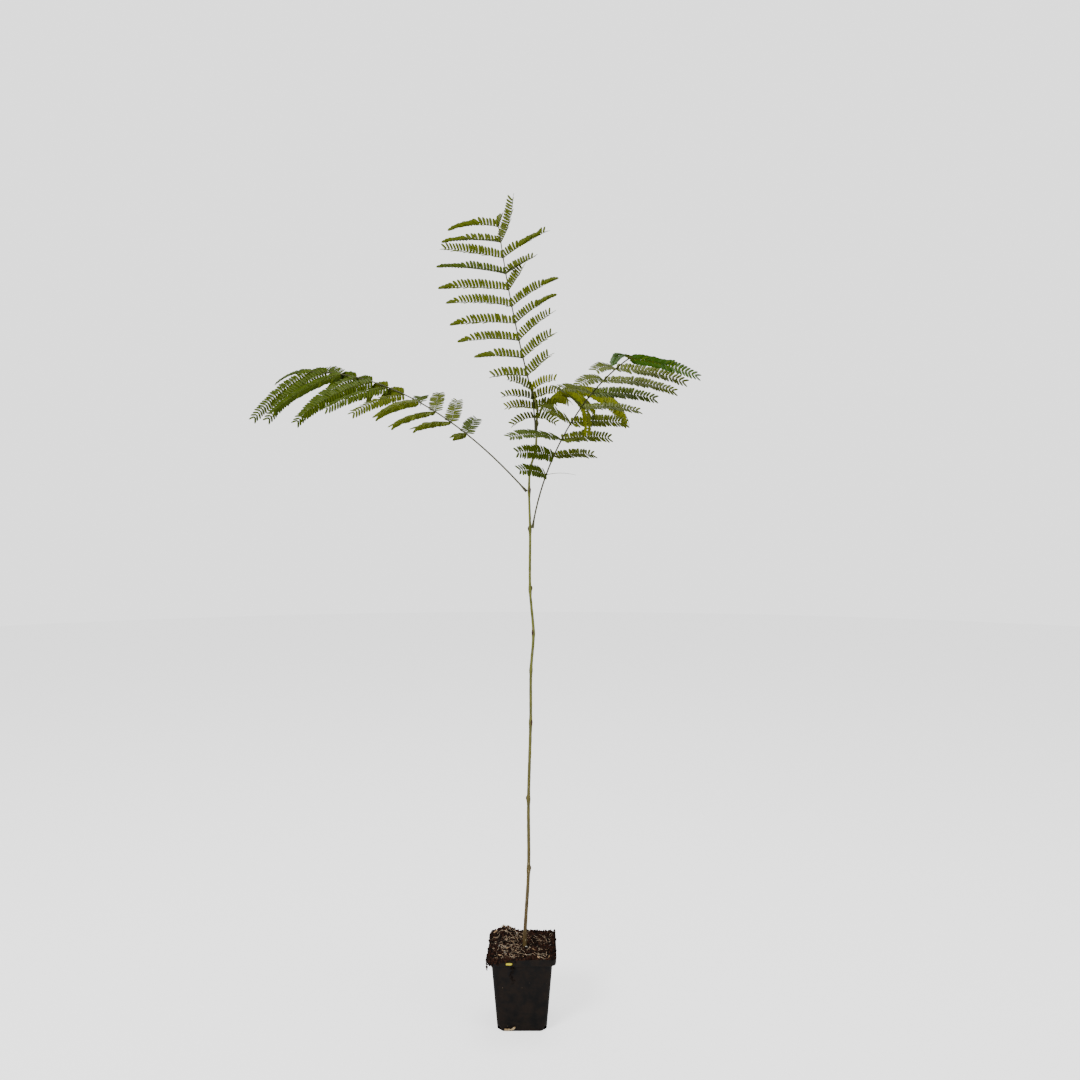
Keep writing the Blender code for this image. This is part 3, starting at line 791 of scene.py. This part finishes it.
def random_frame(dice, size, flat=False):
    """A turned and stretched frame; a flat one stays near level."""
    if flat:
        turn = Matrix.Rotation(dice.uniform(0, 2 * math.pi), 3, "Z")
        tip = Matrix.Rotation(dice.gauss(0, 0.35), 3, "X")
        return np.array(turn @ (tip @ Matrix.Rotation(dice.gauss(0, 0.3), 3, "Y"))) * size
    angles = [dice.uniform(0, 2 * math.pi) for _ in range(3)]
    turn = Matrix.Rotation(angles[0], 3, "Z") @ Matrix.Rotation(angles[1], 3, "Y")
    turn = turn @ Matrix.Rotation(angles[2], 3, "X")
    sides = dice.uniform(0.7, 1.4), dice.uniform(0.7, 1.2), dice.uniform(0.5, 1)
    return np.array(turn @ Matrix.Diagonal(sides)) * size


def inside_pot(dice, margin):
    half = POT_WIDTH / 2 - COMPOST_INSET - margin
    return dice.uniform(-half, half), dice.uniform(-half, half)


def scattered(dice, shape, count, sizes, tones, lift=0.25, margin=0.001, flat=False):
    """Copies of a shape lying on the compost."""
    rows = []
    while len(rows) < count:
        x, y = inside_pot(dice, margin)
        size = between(sizes, dice.random() ** 2)
        if from_stem(x, y) < STEM_CLEARANCE + size / 2:
            continue
        place = (x, y, compost_height(x, y) + size * lift)
        rows.append((random_frame(dice, size, flat), place, dice.randrange(tones)))
    return shape, *zip(*rows)


def on_rim(dice, shape, count, sizes, tones):
    """Crumbs lying on the rim, thickest at the front left corner."""
    rows = []
    half = POT_WIDTH / 2
    while len(rows) < count:
        side = dice.choice("WWWFFFENN")
        along = dice.uniform(-half, half) * RIM_SHARE
        if side == "F":
            along = -half * RIM_SHARE + abs(dice.gauss(0, RIM_SPREAD))
            if along > half * RIM_SHARE:
                continue
        size = between(sizes, dice.random() ** 2)
        inward = dice.uniform(0.0, 0.004)
        x, y = {
            "W": (-half + inward, along),
            "E": (half - inward, along),
            "F": (along, -half + inward),
            "N": (along, half - inward),
        }[side]
        place = (x, y, POT_HEIGHT + size * 0.25 - 0.0004)
        rows.append((random_frame(dice, size), place, dice.randrange(tones)))
    return shape, *zip(*rows)


def clinging(dice, shape, count, tones):
    """Crumbs stuck to the outside of the rim band at the front left corner."""
    rows = []
    half = POT_WIDTH / 2
    for _ in range(count):
        size = dice.uniform(0.0015, 0.0040)
        along = abs(dice.gauss(0, 0.020))
        height = POT_HEIGHT - abs(dice.gauss(0, 0.0015 + 0.005 * math.exp(-along / 0.012)))
        if dice.random() < 0.6:
            place = (-half + along, -half - size * 0.2, height)
        else:
            place = (-half - size * 0.2, -half + along, height)
        rows.append((random_frame(dice, size), place, dice.randrange(tones)))
    return shape, *zip(*rows)


def front_streak(dice, shape, count, tones):
    """A streak of dark crumbs down the front wall, below the rim."""
    rows = []
    for _ in range(count):
        share = dice.random()
        height = POT_HEIGHT - RIM_BAND_HEIGHT - RIM_STEP_HEIGHT - STREAK_LENGTH * share
        size = dice.uniform(0.0010, 0.0028) * (1 - 0.4 * share)
        sideways = STREAK_PLACE + dice.gauss(0, 0.0016) + 0.002 * math.sin(9 * share)
        place = (sideways, -body_half_width(height) - size * 0.15, height)
        rows.append((random_frame(dice, size), place, dice.randrange(tones)))
    return shape, *zip(*rows)


def fibre_routes(dice, count):
    """Thin curved fibres lying on the compost."""
    routes = []
    edge = POT_WIDTH / 2 - FIBRE_EDGE
    while len(routes) < count:
        x, y = inside_pot(dice, FIBRE_CLEARANCE)
        if dice.random() < 0.4:
            x = -abs(x)
        heading = dice.uniform(0, 2 * math.pi)
        bend = dice.gauss(0, 0.22)
        step = dice.uniform(0.0011, 0.0024)
        lift = dice.uniform(0.0014, 0.0030)
        radius = dice.uniform(0.00008, 0.00022)
        points = []
        for _ in range(FIBRE_KNOTS):
            x = max(-edge, min(edge, x))
            y = max(-edge, min(edge, y))
            points.append((x, y, compost_height(x, y) + lift))
            x += step * math.cos(heading)
            y += step * math.sin(heading)
            heading += bend
            lift += dice.gauss(0, 0.0005)
        if min(from_stem(*point[:2]) for point in points) >= FIBRE_CLEARANCE:
            routes.append((points, [radius] * (FIBRE_KNOTS - 1) + [radius * 0.5]))
    return routes


def shed_leaflets():
    """Dry leaflets stuck flat against the front of the pot."""
    upright = np.array(Matrix.Rotation(math.pi / 2, 3, "X"))
    frames = [
        np.array(Matrix.Rotation(math.radians(turn), 3, "Y")) * size @ upright
        for turn, size in HUSK_TURNS
    ]
    return leaflet_shape(1), frames, HUSK_PLACES, [0, 2, 2]


def build_compost():
    dice = random.Random(41)
    blacks = earth_finish("peat_dark", (11, 7, 5), (34, 22, 16))
    browns = earth_finish("peat_brown", (27, 14, 9), (68, 40, 27))
    rusts = earth_finish("bark_red", (56, 27, 18), (104, 58, 40))
    tans = earth_finish("bark_tan", (128, 98, 68), (200, 166, 128))
    straws = earth_finish("dry_fibre", (166, 132, 96), (248, 228, 198), 0.8)
    chalks = earth_finish("perlite", (196, 190, 178), (240, 236, 226), 0.9)
    pale = earth_finish("husk_pale", (150, 120, 84), (212, 190, 150), 0.8)
    yellow = earth_finish("husk_yellow", (196, 180, 30), (244, 232, 90), 0.7)
    build_compost_body(blacks)
    lumps = [lump_shape(dice) for _ in range(3)]
    flake = flake_shape(dice)
    crumbs = [
        scattered(dice, lumps[0], 1500, (0.0009, 0.0030), 2),
        scattered(dice, lumps[1], 1500, (0.0012, 0.0046), 2),
        scattered(dice, lumps[2], 900, (0.0010, 0.0060), 2),
        on_rim(dice, lumps[0], 520, (0.0010, 0.0046), 2),
        clinging(dice, lumps[1], 150, 2),
        front_streak(dice, lumps[1], 70, 1),
    ]
    build_copies("compost_crumbs", crumbs, [blacks, browns], "compost", "compost")
    chips = [
        scattered(dice, flake, 45, (0.0025, 0.0070), 2, 0.2, 0.005, True),
        scattered(dice, lumps[2], 150, (0.0008, 0.0018), 2, 0.5),
    ]
    build_copies("bark_chips", chips, [rusts, tans], "compost", "compost")
    fibres = tube_mesh("dry_fibres", fibre_routes(dice, 170), 1)
    finished(object_of("dry_fibres", fibres, [straws]), "compost", "compost")
    skins = [yellow, yellow, pale, pale]
    build_copies("fallen_leaflets", [shed_leaflets()], skins, "leaf", "compost")
    grains = [scattered(dice, lumps[0], 9, (0.0018, 0.0034), 1, 0.5, 0.006)]
    build_copies("perlite_grains", grains, [chalks], "compost", "compost")


# ---------------------------------------------------------------- stem


def stem_centre(height):
    """The stem's middle at a height: a smooth curve through its joints."""
    heights = [joint[0] for joint in STEM_JOINTS]
    last = len(STEM_JOINTS) - 2
    index = max(0, min(last, sum(h <= height for h in heights) - 1))
    low, high = STEM_JOINTS[index], STEM_JOINTS[index + 1]
    before = STEM_JOINTS[max(0, index - 1)]
    after = STEM_JOINTS[min(last + 1, index + 2)]
    span = high[0] - low[0]
    t = (height - low[0]) / span
    place = []
    for axis in (1, 2):
        start = (high[axis] - before[axis]) / (high[0] - before[0]) * span if index else 0
        end = (after[axis] - low[axis]) / (after[0] - low[0]) * span
        place.append(
            (2 * t**3 - 3 * t**2 + 1) * low[axis] + (t**3 - 2 * t**2 + t) * start
            + (3 * t**2 - 2 * t**3) * high[axis] + (t**3 - t**2) * end
        )
    return Vector((*place, height))


def stem_radius(height):
    foot, tip = STEM_JOINTS[0][0], STEM_JOINTS[-1][0]
    share = (height - foot) / (tip - foot)
    radius = STEM_FOOT_RADIUS + (STEM_TIP_RADIUS - STEM_FOOT_RADIUS) * share ** (1 / STEM_TAPER)
    radius += FLARE_EXTRA * math.exp(-(height - foot) / FLARE_HEIGHT)
    for joint in STEM_JOINTS[1:-1]:
        radius += JOINT_EXTRA * math.exp(-(((height - joint[0]) / JOINT_SPREAD) ** 2))
    return radius


def build_stem():
    foot, tip = STEM_JOINTS[0][0], STEM_JOINTS[-1][0]
    heights = [foot + (tip - foot) * step / STEM_STEPS for step in range(STEM_STEPS + 1)]
    points = [stem_centre(height) for height in heights]
    radii = [stem_radius(height) for height in heights]
    radii[-1] *= 0.5
    mesh = tube_mesh("stem_skin", [(points, radii)], 8)
    bm = bmesh.new()
    bm.from_mesh(mesh)
    bm.normal_update()
    for vert in bm.verts:
        place = Vector((vert.co.x, vert.co.y, vert.co.z * 0.22))
        ridges = noise.noise(place * 900) * 0.00016
        swells = noise.noise(vert.co * 120) * 0.00018
        vert.co += vert.normal * (ridges + swells)
    bm.to_mesh(mesh)
    bm.free()
    finished(object_of("stem_skin", mesh, [bark_finish()]), "bark", "stem")
    rows = []
    for number, joint in enumerate(STEM_JOINTS[1:-1]):
        heading = math.radians(FIRST_BUD_HEADING + BUD_TURN * number)
        outward = level_at(heading) * (stem_radius(joint[0]) * BUD_SINK)
        place = stem_centre(joint[0]) + outward + UP * BUD_LENGTH * BUD_RISE
        rows.append((np.array(Matrix.Rotation(heading, 3, "Z")), tuple(place), 0))
    scales = plain_finish("bud_scales", 0.6, 0.4, (600.0, 2.5, (30, 20, 12), (86, 62, 34)), 0.0002)
    build_copies("stem_buds", [(bud_shape(), *zip(*rows))], [scales], "bark", "stem")


def bud_shape():
    """A pointed bud over the scar of a fallen leaf, leaning out towards +X."""
    bm = bmesh.new()
    bud = bmesh.ops.create_uvsphere(bm, u_segments=12, v_segments=10, radius=1)["verts"]
    for vert in bud:
        taper = 1 - 0.35 * max(0, vert.co.z)
        vert.co.x = vert.co.x * BUD_RADIUS * taper + 0.0004 * vert.co.z
        vert.co.y *= BUD_RADIUS * taper
        vert.co.z *= BUD_LENGTH / 2
    scar = bmesh.ops.create_uvsphere(bm, u_segments=12, v_segments=8, radius=1)["verts"]
    bmesh.ops.scale(bm, verts=scar, vec=(0.0012, 0.0020, 0.0016))
    bmesh.ops.translate(bm, verts=scar, vec=(-0.0002, 0, -BUD_LENGTH * 0.42))
    for face in bm.faces:
        face.smooth = True
    return template_of(bm)


# ---------------------------------------------------------------- leaves


def leaf_direction(leaf, share):
    heading = math.radians(leaf["heading"] + leaf["turn"] * share)
    rise = math.radians(between(leaf["rise"], share ** leaf["bend"]))
    return heading, rise


def leaf_axes(leaf, share):
    """Forward along the midrib, to the leaf's left, and up from its upper face."""
    heading, rise = leaf_direction(leaf, share)
    level = level_at(heading)
    forward = level * math.cos(rise) + UP * math.sin(rise)
    left = UP.cross(level)
    face = forward.cross(left)
    roll = math.radians(between(leaf["roll"], share))
    return (
        forward,
        left * math.cos(roll) + face * math.sin(roll),
        face * math.cos(roll) - left * math.sin(roll),
    )


def leaf_root(leaf):
    """The middle of the stalk's base, against the stem."""
    heading, rise = leaf_direction(leaf, 0)
    away = stem_radius(leaf["height"]) + STALK_BASE_RADIUS * math.sin(rise) + GAP
    return stem_centre(leaf["height"]) + level_at(heading) * away


def leaf_line(leaf):
    """Points along the middle of stalk and midrib, a step apart."""
    step = (leaf["stalk"] + leaf["midrib"]) / LEAF_STEPS
    points = [leaf_root(leaf)]
    for number in range(LEAF_STEPS):
        forward = leaf_axes(leaf, (number + 0.5) / LEAF_STEPS)[0]
        points.append(points[-1] + forward * step)
    return points


def point_on(line, share):
    place = min(max(share, 0), 1) * (len(line) - 1)
    index = min(int(place), len(line) - 2)
    return line[index].lerp(line[index + 1], place - index)


def spray_length(leaf, share):
    """Through the lengths at the midrib's base, middle and tip."""
    base, middle, tip = leaf["spray"]
    return (
        base * (1 - share) * (1 - 2 * share)
        + middle * 4 * share * (1 - share)
        + tip * share * (2 * share - 1)
    )


def leaf_sprays(leaf, dice):
    """Side, place on the midrib, length, extra spread and droop of each side spray."""
    for number in range(leaf["pairs"]):
        share = number / (leaf["pairs"] - 1)
        for side in (LEFT, RIGHT):
            length = spray_length(leaf, share) * (1 + dice.uniform(-1, 1) * LENGTH_VARIES)
            extra = dice.uniform(-1, 1) * SPREAD_VARIES
            droop = between(leaf["droop"], share) + dice.uniform(-1, 1) * DROOP_VARIES
            yield side, share, length, extra, droop


def spray_axes(leaf, line, share, side, extra):
    """Root and first direction of one side spray."""
    along = (leaf["stalk"] + leaf["midrib"] * share) / (leaf["stalk"] + leaf["midrib"])
    forward, left, face = leaf_axes(leaf, along)
    spread = between(leaf["spread"], share) + side * between(leaf["more_left"], share) + extra
    spread = math.radians(spread)
    tilt = math.radians(between(leaf["tilt"], share))
    outward = left * (side * math.cos(tilt)) + face * math.sin(tilt)
    return point_on(line, along), forward * math.cos(spread) + outward * math.sin(spread)


def spray_line(root, direction, length, droop):
    """Points along a spray that bends down by the droop, least where it already hangs."""
    heading = math.atan2(direction.y, direction.x)
    rise = math.asin(max(-1, min(1, direction.z)))
    points = [root]
    for number in range(SPRAY_STEPS):
        fall = math.radians(droop) * (number + 0.5) / SPRAY_STEPS * math.cos(rise)
        step = level_at(heading) * math.cos(rise - fall) + UP * math.sin(rise - fall)
        points.append(points[-1] + step * (length / SPRAY_STEPS))
    return points


def leaflet_reach(share):
    """A leaflet's length by its place on the spray: shorter at both ends."""
    swell = math.sin(math.pi * min(1, share * LONGEST_LEAFLET_SHIFT))
    return LEAFLET_LENGTH * (END_LEAFLET_SHARE + (1 - END_LEAFLET_SHARE) * swell)


def leaflet_shape(front):
    """A leaflet one long: oblong, bent forward, its midrib near the front edge."""
    bm = bmesh.new()
    layer = bm.loops.layers.uv.new("shape")
    bmesh.ops.create_grid(bm, x_segments=6, y_segments=2, size=0.5)
    for face in bm.faces:
        for loop in face.loops:
            loop[layer].uv = (loop.vert.co.x + 0.5, loop.vert.co.y + 0.5)
    for vert in bm.verts:
        along = 0.5 - 0.5 * math.cos(math.pi * (vert.co.x + 0.5))
        across = vert.co.y * 2
        width = LEAFLET_WIDTH * max(0.10, (1 - abs(2 * along - 1) ** 3.4) ** 0.55)
        if along < 0.5:
            width = max(width, LEAFLET_BASE_WIDTH)
        share = 0.42 if across * front > 0 else 0.58
        vert.co.x = along
        vert.co.y = across * width * share + front * 0.09 * along * along
        vert.co.z = abs(across) * 0.030 - 0.05 * along * along
    bmesh.ops.solidify(bm, geom=bm.faces[:], thickness=LEAFLET_THICKNESS)
    bmesh.ops.recalc_face_normals(bm, faces=bm.faces)
    for face in bm.faces:
        face.material_index = 1 if face.normal.z < -0.4 else 0
        face.smooth = abs(face.normal.z) > 0.4
    return template_of(bm)


def spray_face(turn, along):
    """Across and up from a spray's upper face, which leans to the viewer by the turn."""
    turn = math.radians(turn)
    light = Vector((0, -math.sin(turn), math.cos(turn)))
    face = (light - along * light.dot(along)).normalized()
    return face.cross(along), face


def spray_leaflets(leaf, turns, closed, line, length, side, dice):
    """Shape, frame and place of each leaflet of a spray; both shapes bend to its end."""
    leaflets = []
    count = max(6, round(length / leaf["pitch"]))
    pitch = length / (count + 0.2)
    for number in range(count):
        share = (number + 0.6) * pitch / length
        ahead_of = point_on(line, share + SPRAY_SMOOTHING)
        along = (ahead_of - point_on(line, share - SPRAY_SMOOTHING)).normalized()
        across, face = spray_face(between(turns, share), along)
        for row, fold in zip((1, -1), leaf["fold"][side == RIGHT]):
            fold = math.radians(fold + dice.gauss(0, FOLD_VARIES))
            late = END_LEAN_GROWTH * max(0, share - END_LEAN_START)
            lean = ROOT_LEAN + LEAN_GROWTH * share**2 + late + dice.gauss(0, LEAN_VARIES)
            shut = min(share - closed[0], closed[1] - share) * CLOSED_RAMP + 1
            shut = max(0, min(1, shut))
            lean = math.radians(lean + CLOSED_LEAN * shut)
            out = across * (-side * row * math.cos(fold)) + face * math.sin(fold)
            normal = face * math.cos(fold) + across * (side * row * math.sin(fold))
            direction = out * math.cos(lean) + along * math.sin(lean)
            twist = math.radians(dice.gauss(0, TWIST_VARIES))
            edge = normal.cross(direction)
            edge, normal = (
                edge * math.cos(twist) + normal * math.sin(twist),
                normal * math.cos(twist) - edge * math.sin(twist),
            )
            size = leaflet_reach(share) * leaf["leaflet"]
            size *= 1 + dice.uniform(-SIZE_VARIES, SIZE_VARIES)
            slim = leaf["slim"] * (1 - (1 - END_LEAFLET_WIDTH) * max(0, share - 0.5) * 2)
            slim *= 1 + (CLOSED_WIDTH - 1) * shut
            axes = np.array([direction * size, edge * size * slim, normal * size]).T
            front = 1 if edge.dot(along) > 0 else -1
            leaflets.append((front, axes, tuple(point_on(line, share) + out * GAP)))
    return leaflets


def build_stalk(name, leaf, line, material):
    """The stalk and midrib of a leaf, swollen at the base, with a knee at each pair."""
    whole = leaf["stalk"] + leaf["midrib"]
    last = leaf["pairs"] - 1
    joints = [leaf["stalk"] + leaf["midrib"] * n / last for n in range(leaf["pairs"])]
    points, radii = [], []
    for number in range(MIDRIB_STEPS + 1):
        share = number / MIDRIB_STEPS
        at = share * whole
        slim = between((STALK_RADIUS, STALK_END_RADIUS), min(1, at / leaf["stalk"]))
        if at > leaf["stalk"]:
            past = (at - leaf["stalk"]) / leaf["midrib"]
            slim = between((STALK_END_RADIUS, MIDRIB_TIP_RADIUS), past)
        swelling = math.exp(-((at / SWELLING_LENGTH) ** 2))
        knees = sum(math.exp(-(((at - joint) / KNEE_SPREAD) ** 2)) for joint in joints)
        points.append(point_on(line, share))
        radii.append(slim + (STALK_BASE_RADIUS - slim) * swelling + KNEE_EXTRA * min(1, knees))
    mesh = tube_mesh(f"leaf_stalk_{name}", [(points, radii)], 3)
    stalk = object_of(f"leaf_stalk_{name}", mesh, [material])
    finished(stalk, "stalk", f"stalk_{name}", f"foliage_{name}")


def spray_tint(name, share, odd, dice):
    """Number of a spray's tint: deep towards the ends of the two wide leaves, pale when young."""
    roll = dice.random()
    if "tint" in odd:
        tint = odd["tint"]
    elif name == "left" and share > 0.55:
        tint = "deep" if roll < 0.75 else "olive"
    elif name == "right" and share > 0.6:
        tint = "deep" if roll < 0.6 else "olive"
    elif name == "arching":
        tint = "pale"
    elif name == "young":
        tint = "olive" if roll < 0.6 else "pale"
    else:
        tint = "olive" if roll < 0.75 else "deep"
    return list(TINTS).index(tint)


def build_leaf(name, leaf, finishes, shapes):
    """One leaf: its stalk and midrib, the ribs of its sprays, and its leaflets."""
    line = leaf_line(leaf)
    build_stalk(name, leaf, line, finishes["stalk"])
    dice = random.Random(100 + leaf["seed"])
    rows = {1: [], -1: []}
    ribs = []
    for side, share, length, extra, droop in leaf_sprays(leaf, random.Random(leaf["seed"])):
        pair = round(share * (leaf["pairs"] - 1))
        odd = ODD_SPRAYS.get((name, pair, side), {})
        length *= odd.get("length", 1)
        extra += dice.gauss(0, leaf["unrest"]) + odd.get("steer", 0)
        droop += odd.get("droop", 0)
        root, direction = spray_axes(leaf, line, share, side, extra)
        route = spray_line(root, direction, length, droop)
        thick = [
            between((RIB_RADIUS, RIB_TIP_RADIUS), n / SPRAY_STEPS) + RIB_SWELLING * math.exp(-n)
            for n in range(SPRAY_STEPS + 1)
        ]
        ribs.append((route, thick))
        first = between(leaf["facing"][side == RIGHT], share) + dice.gauss(0, FACING_VARIES)
        turns = odd.get("facing", (first, first + END_FACING))
        closed = odd.get("closed", NEVER_CLOSED)
        leaflets = []
        if not odd.get("bare"):
            leaflets = spray_leaflets(leaf, turns, closed, route, length, side, dice)
        tint = spray_tint(name, share, odd, dice)
        for front, axes, place in leaflets:
            rows[front].append((axes, place, tint * 2))
    mesh = tube_mesh(f"spray_ribs_{name}", ribs, 1)
    finished(object_of(f"spray_ribs_{name}", mesh, [finishes["rib"]]), "leaf", f"foliage_{name}")
    groups = [(shapes[front], *zip(*rows[front])) for front in rows if rows[front]]
    build_copies(f"leaflets_{name}", groups, finishes["leaf"], "leaf", f"foliage_{name}")


def build_leaves():
    skins = []
    for tint, tones in TINTS.items():
        skins.append(leaf_finish(f"leaf_{tint}", tones, 0.5))
        skins.append(leaf_finish(f"leaf_under_{tint}", UNDERSIDE, 0.65))
    mottle = (120.0, 2.0, (40, 40, 16), (74, 74, 34))
    finishes = dict(
        stalk=plain_finish("stalk_skin", 0.5, 0.4, mottle, 0.0001),
        rib=leaf_finish("rib_green", RIB_GREEN, 0.5),
        leaf=skins,
    )
    shapes = {front: leaflet_shape(front) for front in (1, -1)}
    for name, leaf in LEAVES.items():
        build_leaf(name, leaf, finishes, shapes)


# ---------------------------------------------------------------- floor, light and camera


def floor_finish():
    """Pale matt floor that the camera sees brighter, without throwing more light on the plant."""
    material, tree, shader, _ = surface("floor_white", 0.9, 0.2)
    shader["Base Color"].default_value = (0.9, 0.9, 0.9, 1)
    shader["Emission Color"].default_value = (1, 1, 1, 1)
    seen = tree.nodes.new("ShaderNodeLightPath")
    glow = worked(tree, "MULTIPLY", seen.outputs["Is Camera Ray"], FLOOR_GLOW)
    tree.links.new(glow, shader["Emission Strength"])
    return material


def area_light(name, place, target, size, power):
    data = bpy.data.lights.new(name, "AREA")
    data.shape = "DISK"
    data.size = size
    data.energy = power
    light = linked(name, data)
    light.location = place
    light.rotation_euler = (Vector(target) - Vector(place)).to_track_quat("-Z", "Y").to_euler()


def build_studio():
    bm = bmesh.new()
    bmesh.ops.create_circle(bm, segments=64, radius=8, cap_ends=True)
    floor = object_of("studio_floor", mesh_of("studio_floor", bm), [floor_finish()])
    world = bpy.data.worlds.new("studio")
    world.use_nodes = True
    tree = world.node_tree
    soft = tree.nodes["Background"]
    soft.inputs["Strength"].default_value = SOFT_STRENGTH
    backdrop = tree.nodes.new("ShaderNodeBackground")
    backdrop.inputs["Strength"].default_value = BACKDROP_STRENGTH
    for node in (soft, backdrop):
        node.inputs["Color"].default_value = (1, 1, 1, 1)
    seen = tree.nodes.new("ShaderNodeLightPath")
    choice = tree.nodes.new("ShaderNodeMixShader")
    tree.links.new(seen.outputs["Is Camera Ray"], choice.inputs[0])
    tree.links.new(soft.outputs[0], choice.inputs[1])
    tree.links.new(backdrop.outputs[0], choice.inputs[2])
    tree.links.new(choice.outputs[0], tree.nodes["World Output"].inputs["Surface"])
    bpy.context.scene.world = world
    for name, values in LAMPS.items():
        area_light(name, *values)
    data = bpy.data.cameras.new("camera")
    data.lens = CAMERA_LENS
    data.sensor_width = SENSOR_WIDTH
    camera = linked("camera", data)
    camera.location = CAMERA_PLACE
    camera.rotation_euler = (math.radians(CAMERA_TILT), 0, 0)
    bpy.context.scene.camera = camera


MOTTLE = mottle_group()
SPECKS = speck_group()
build_pot()
build_compost()
build_stem()
build_leaves()
build_studio()

bpy.context.view_layer.update()
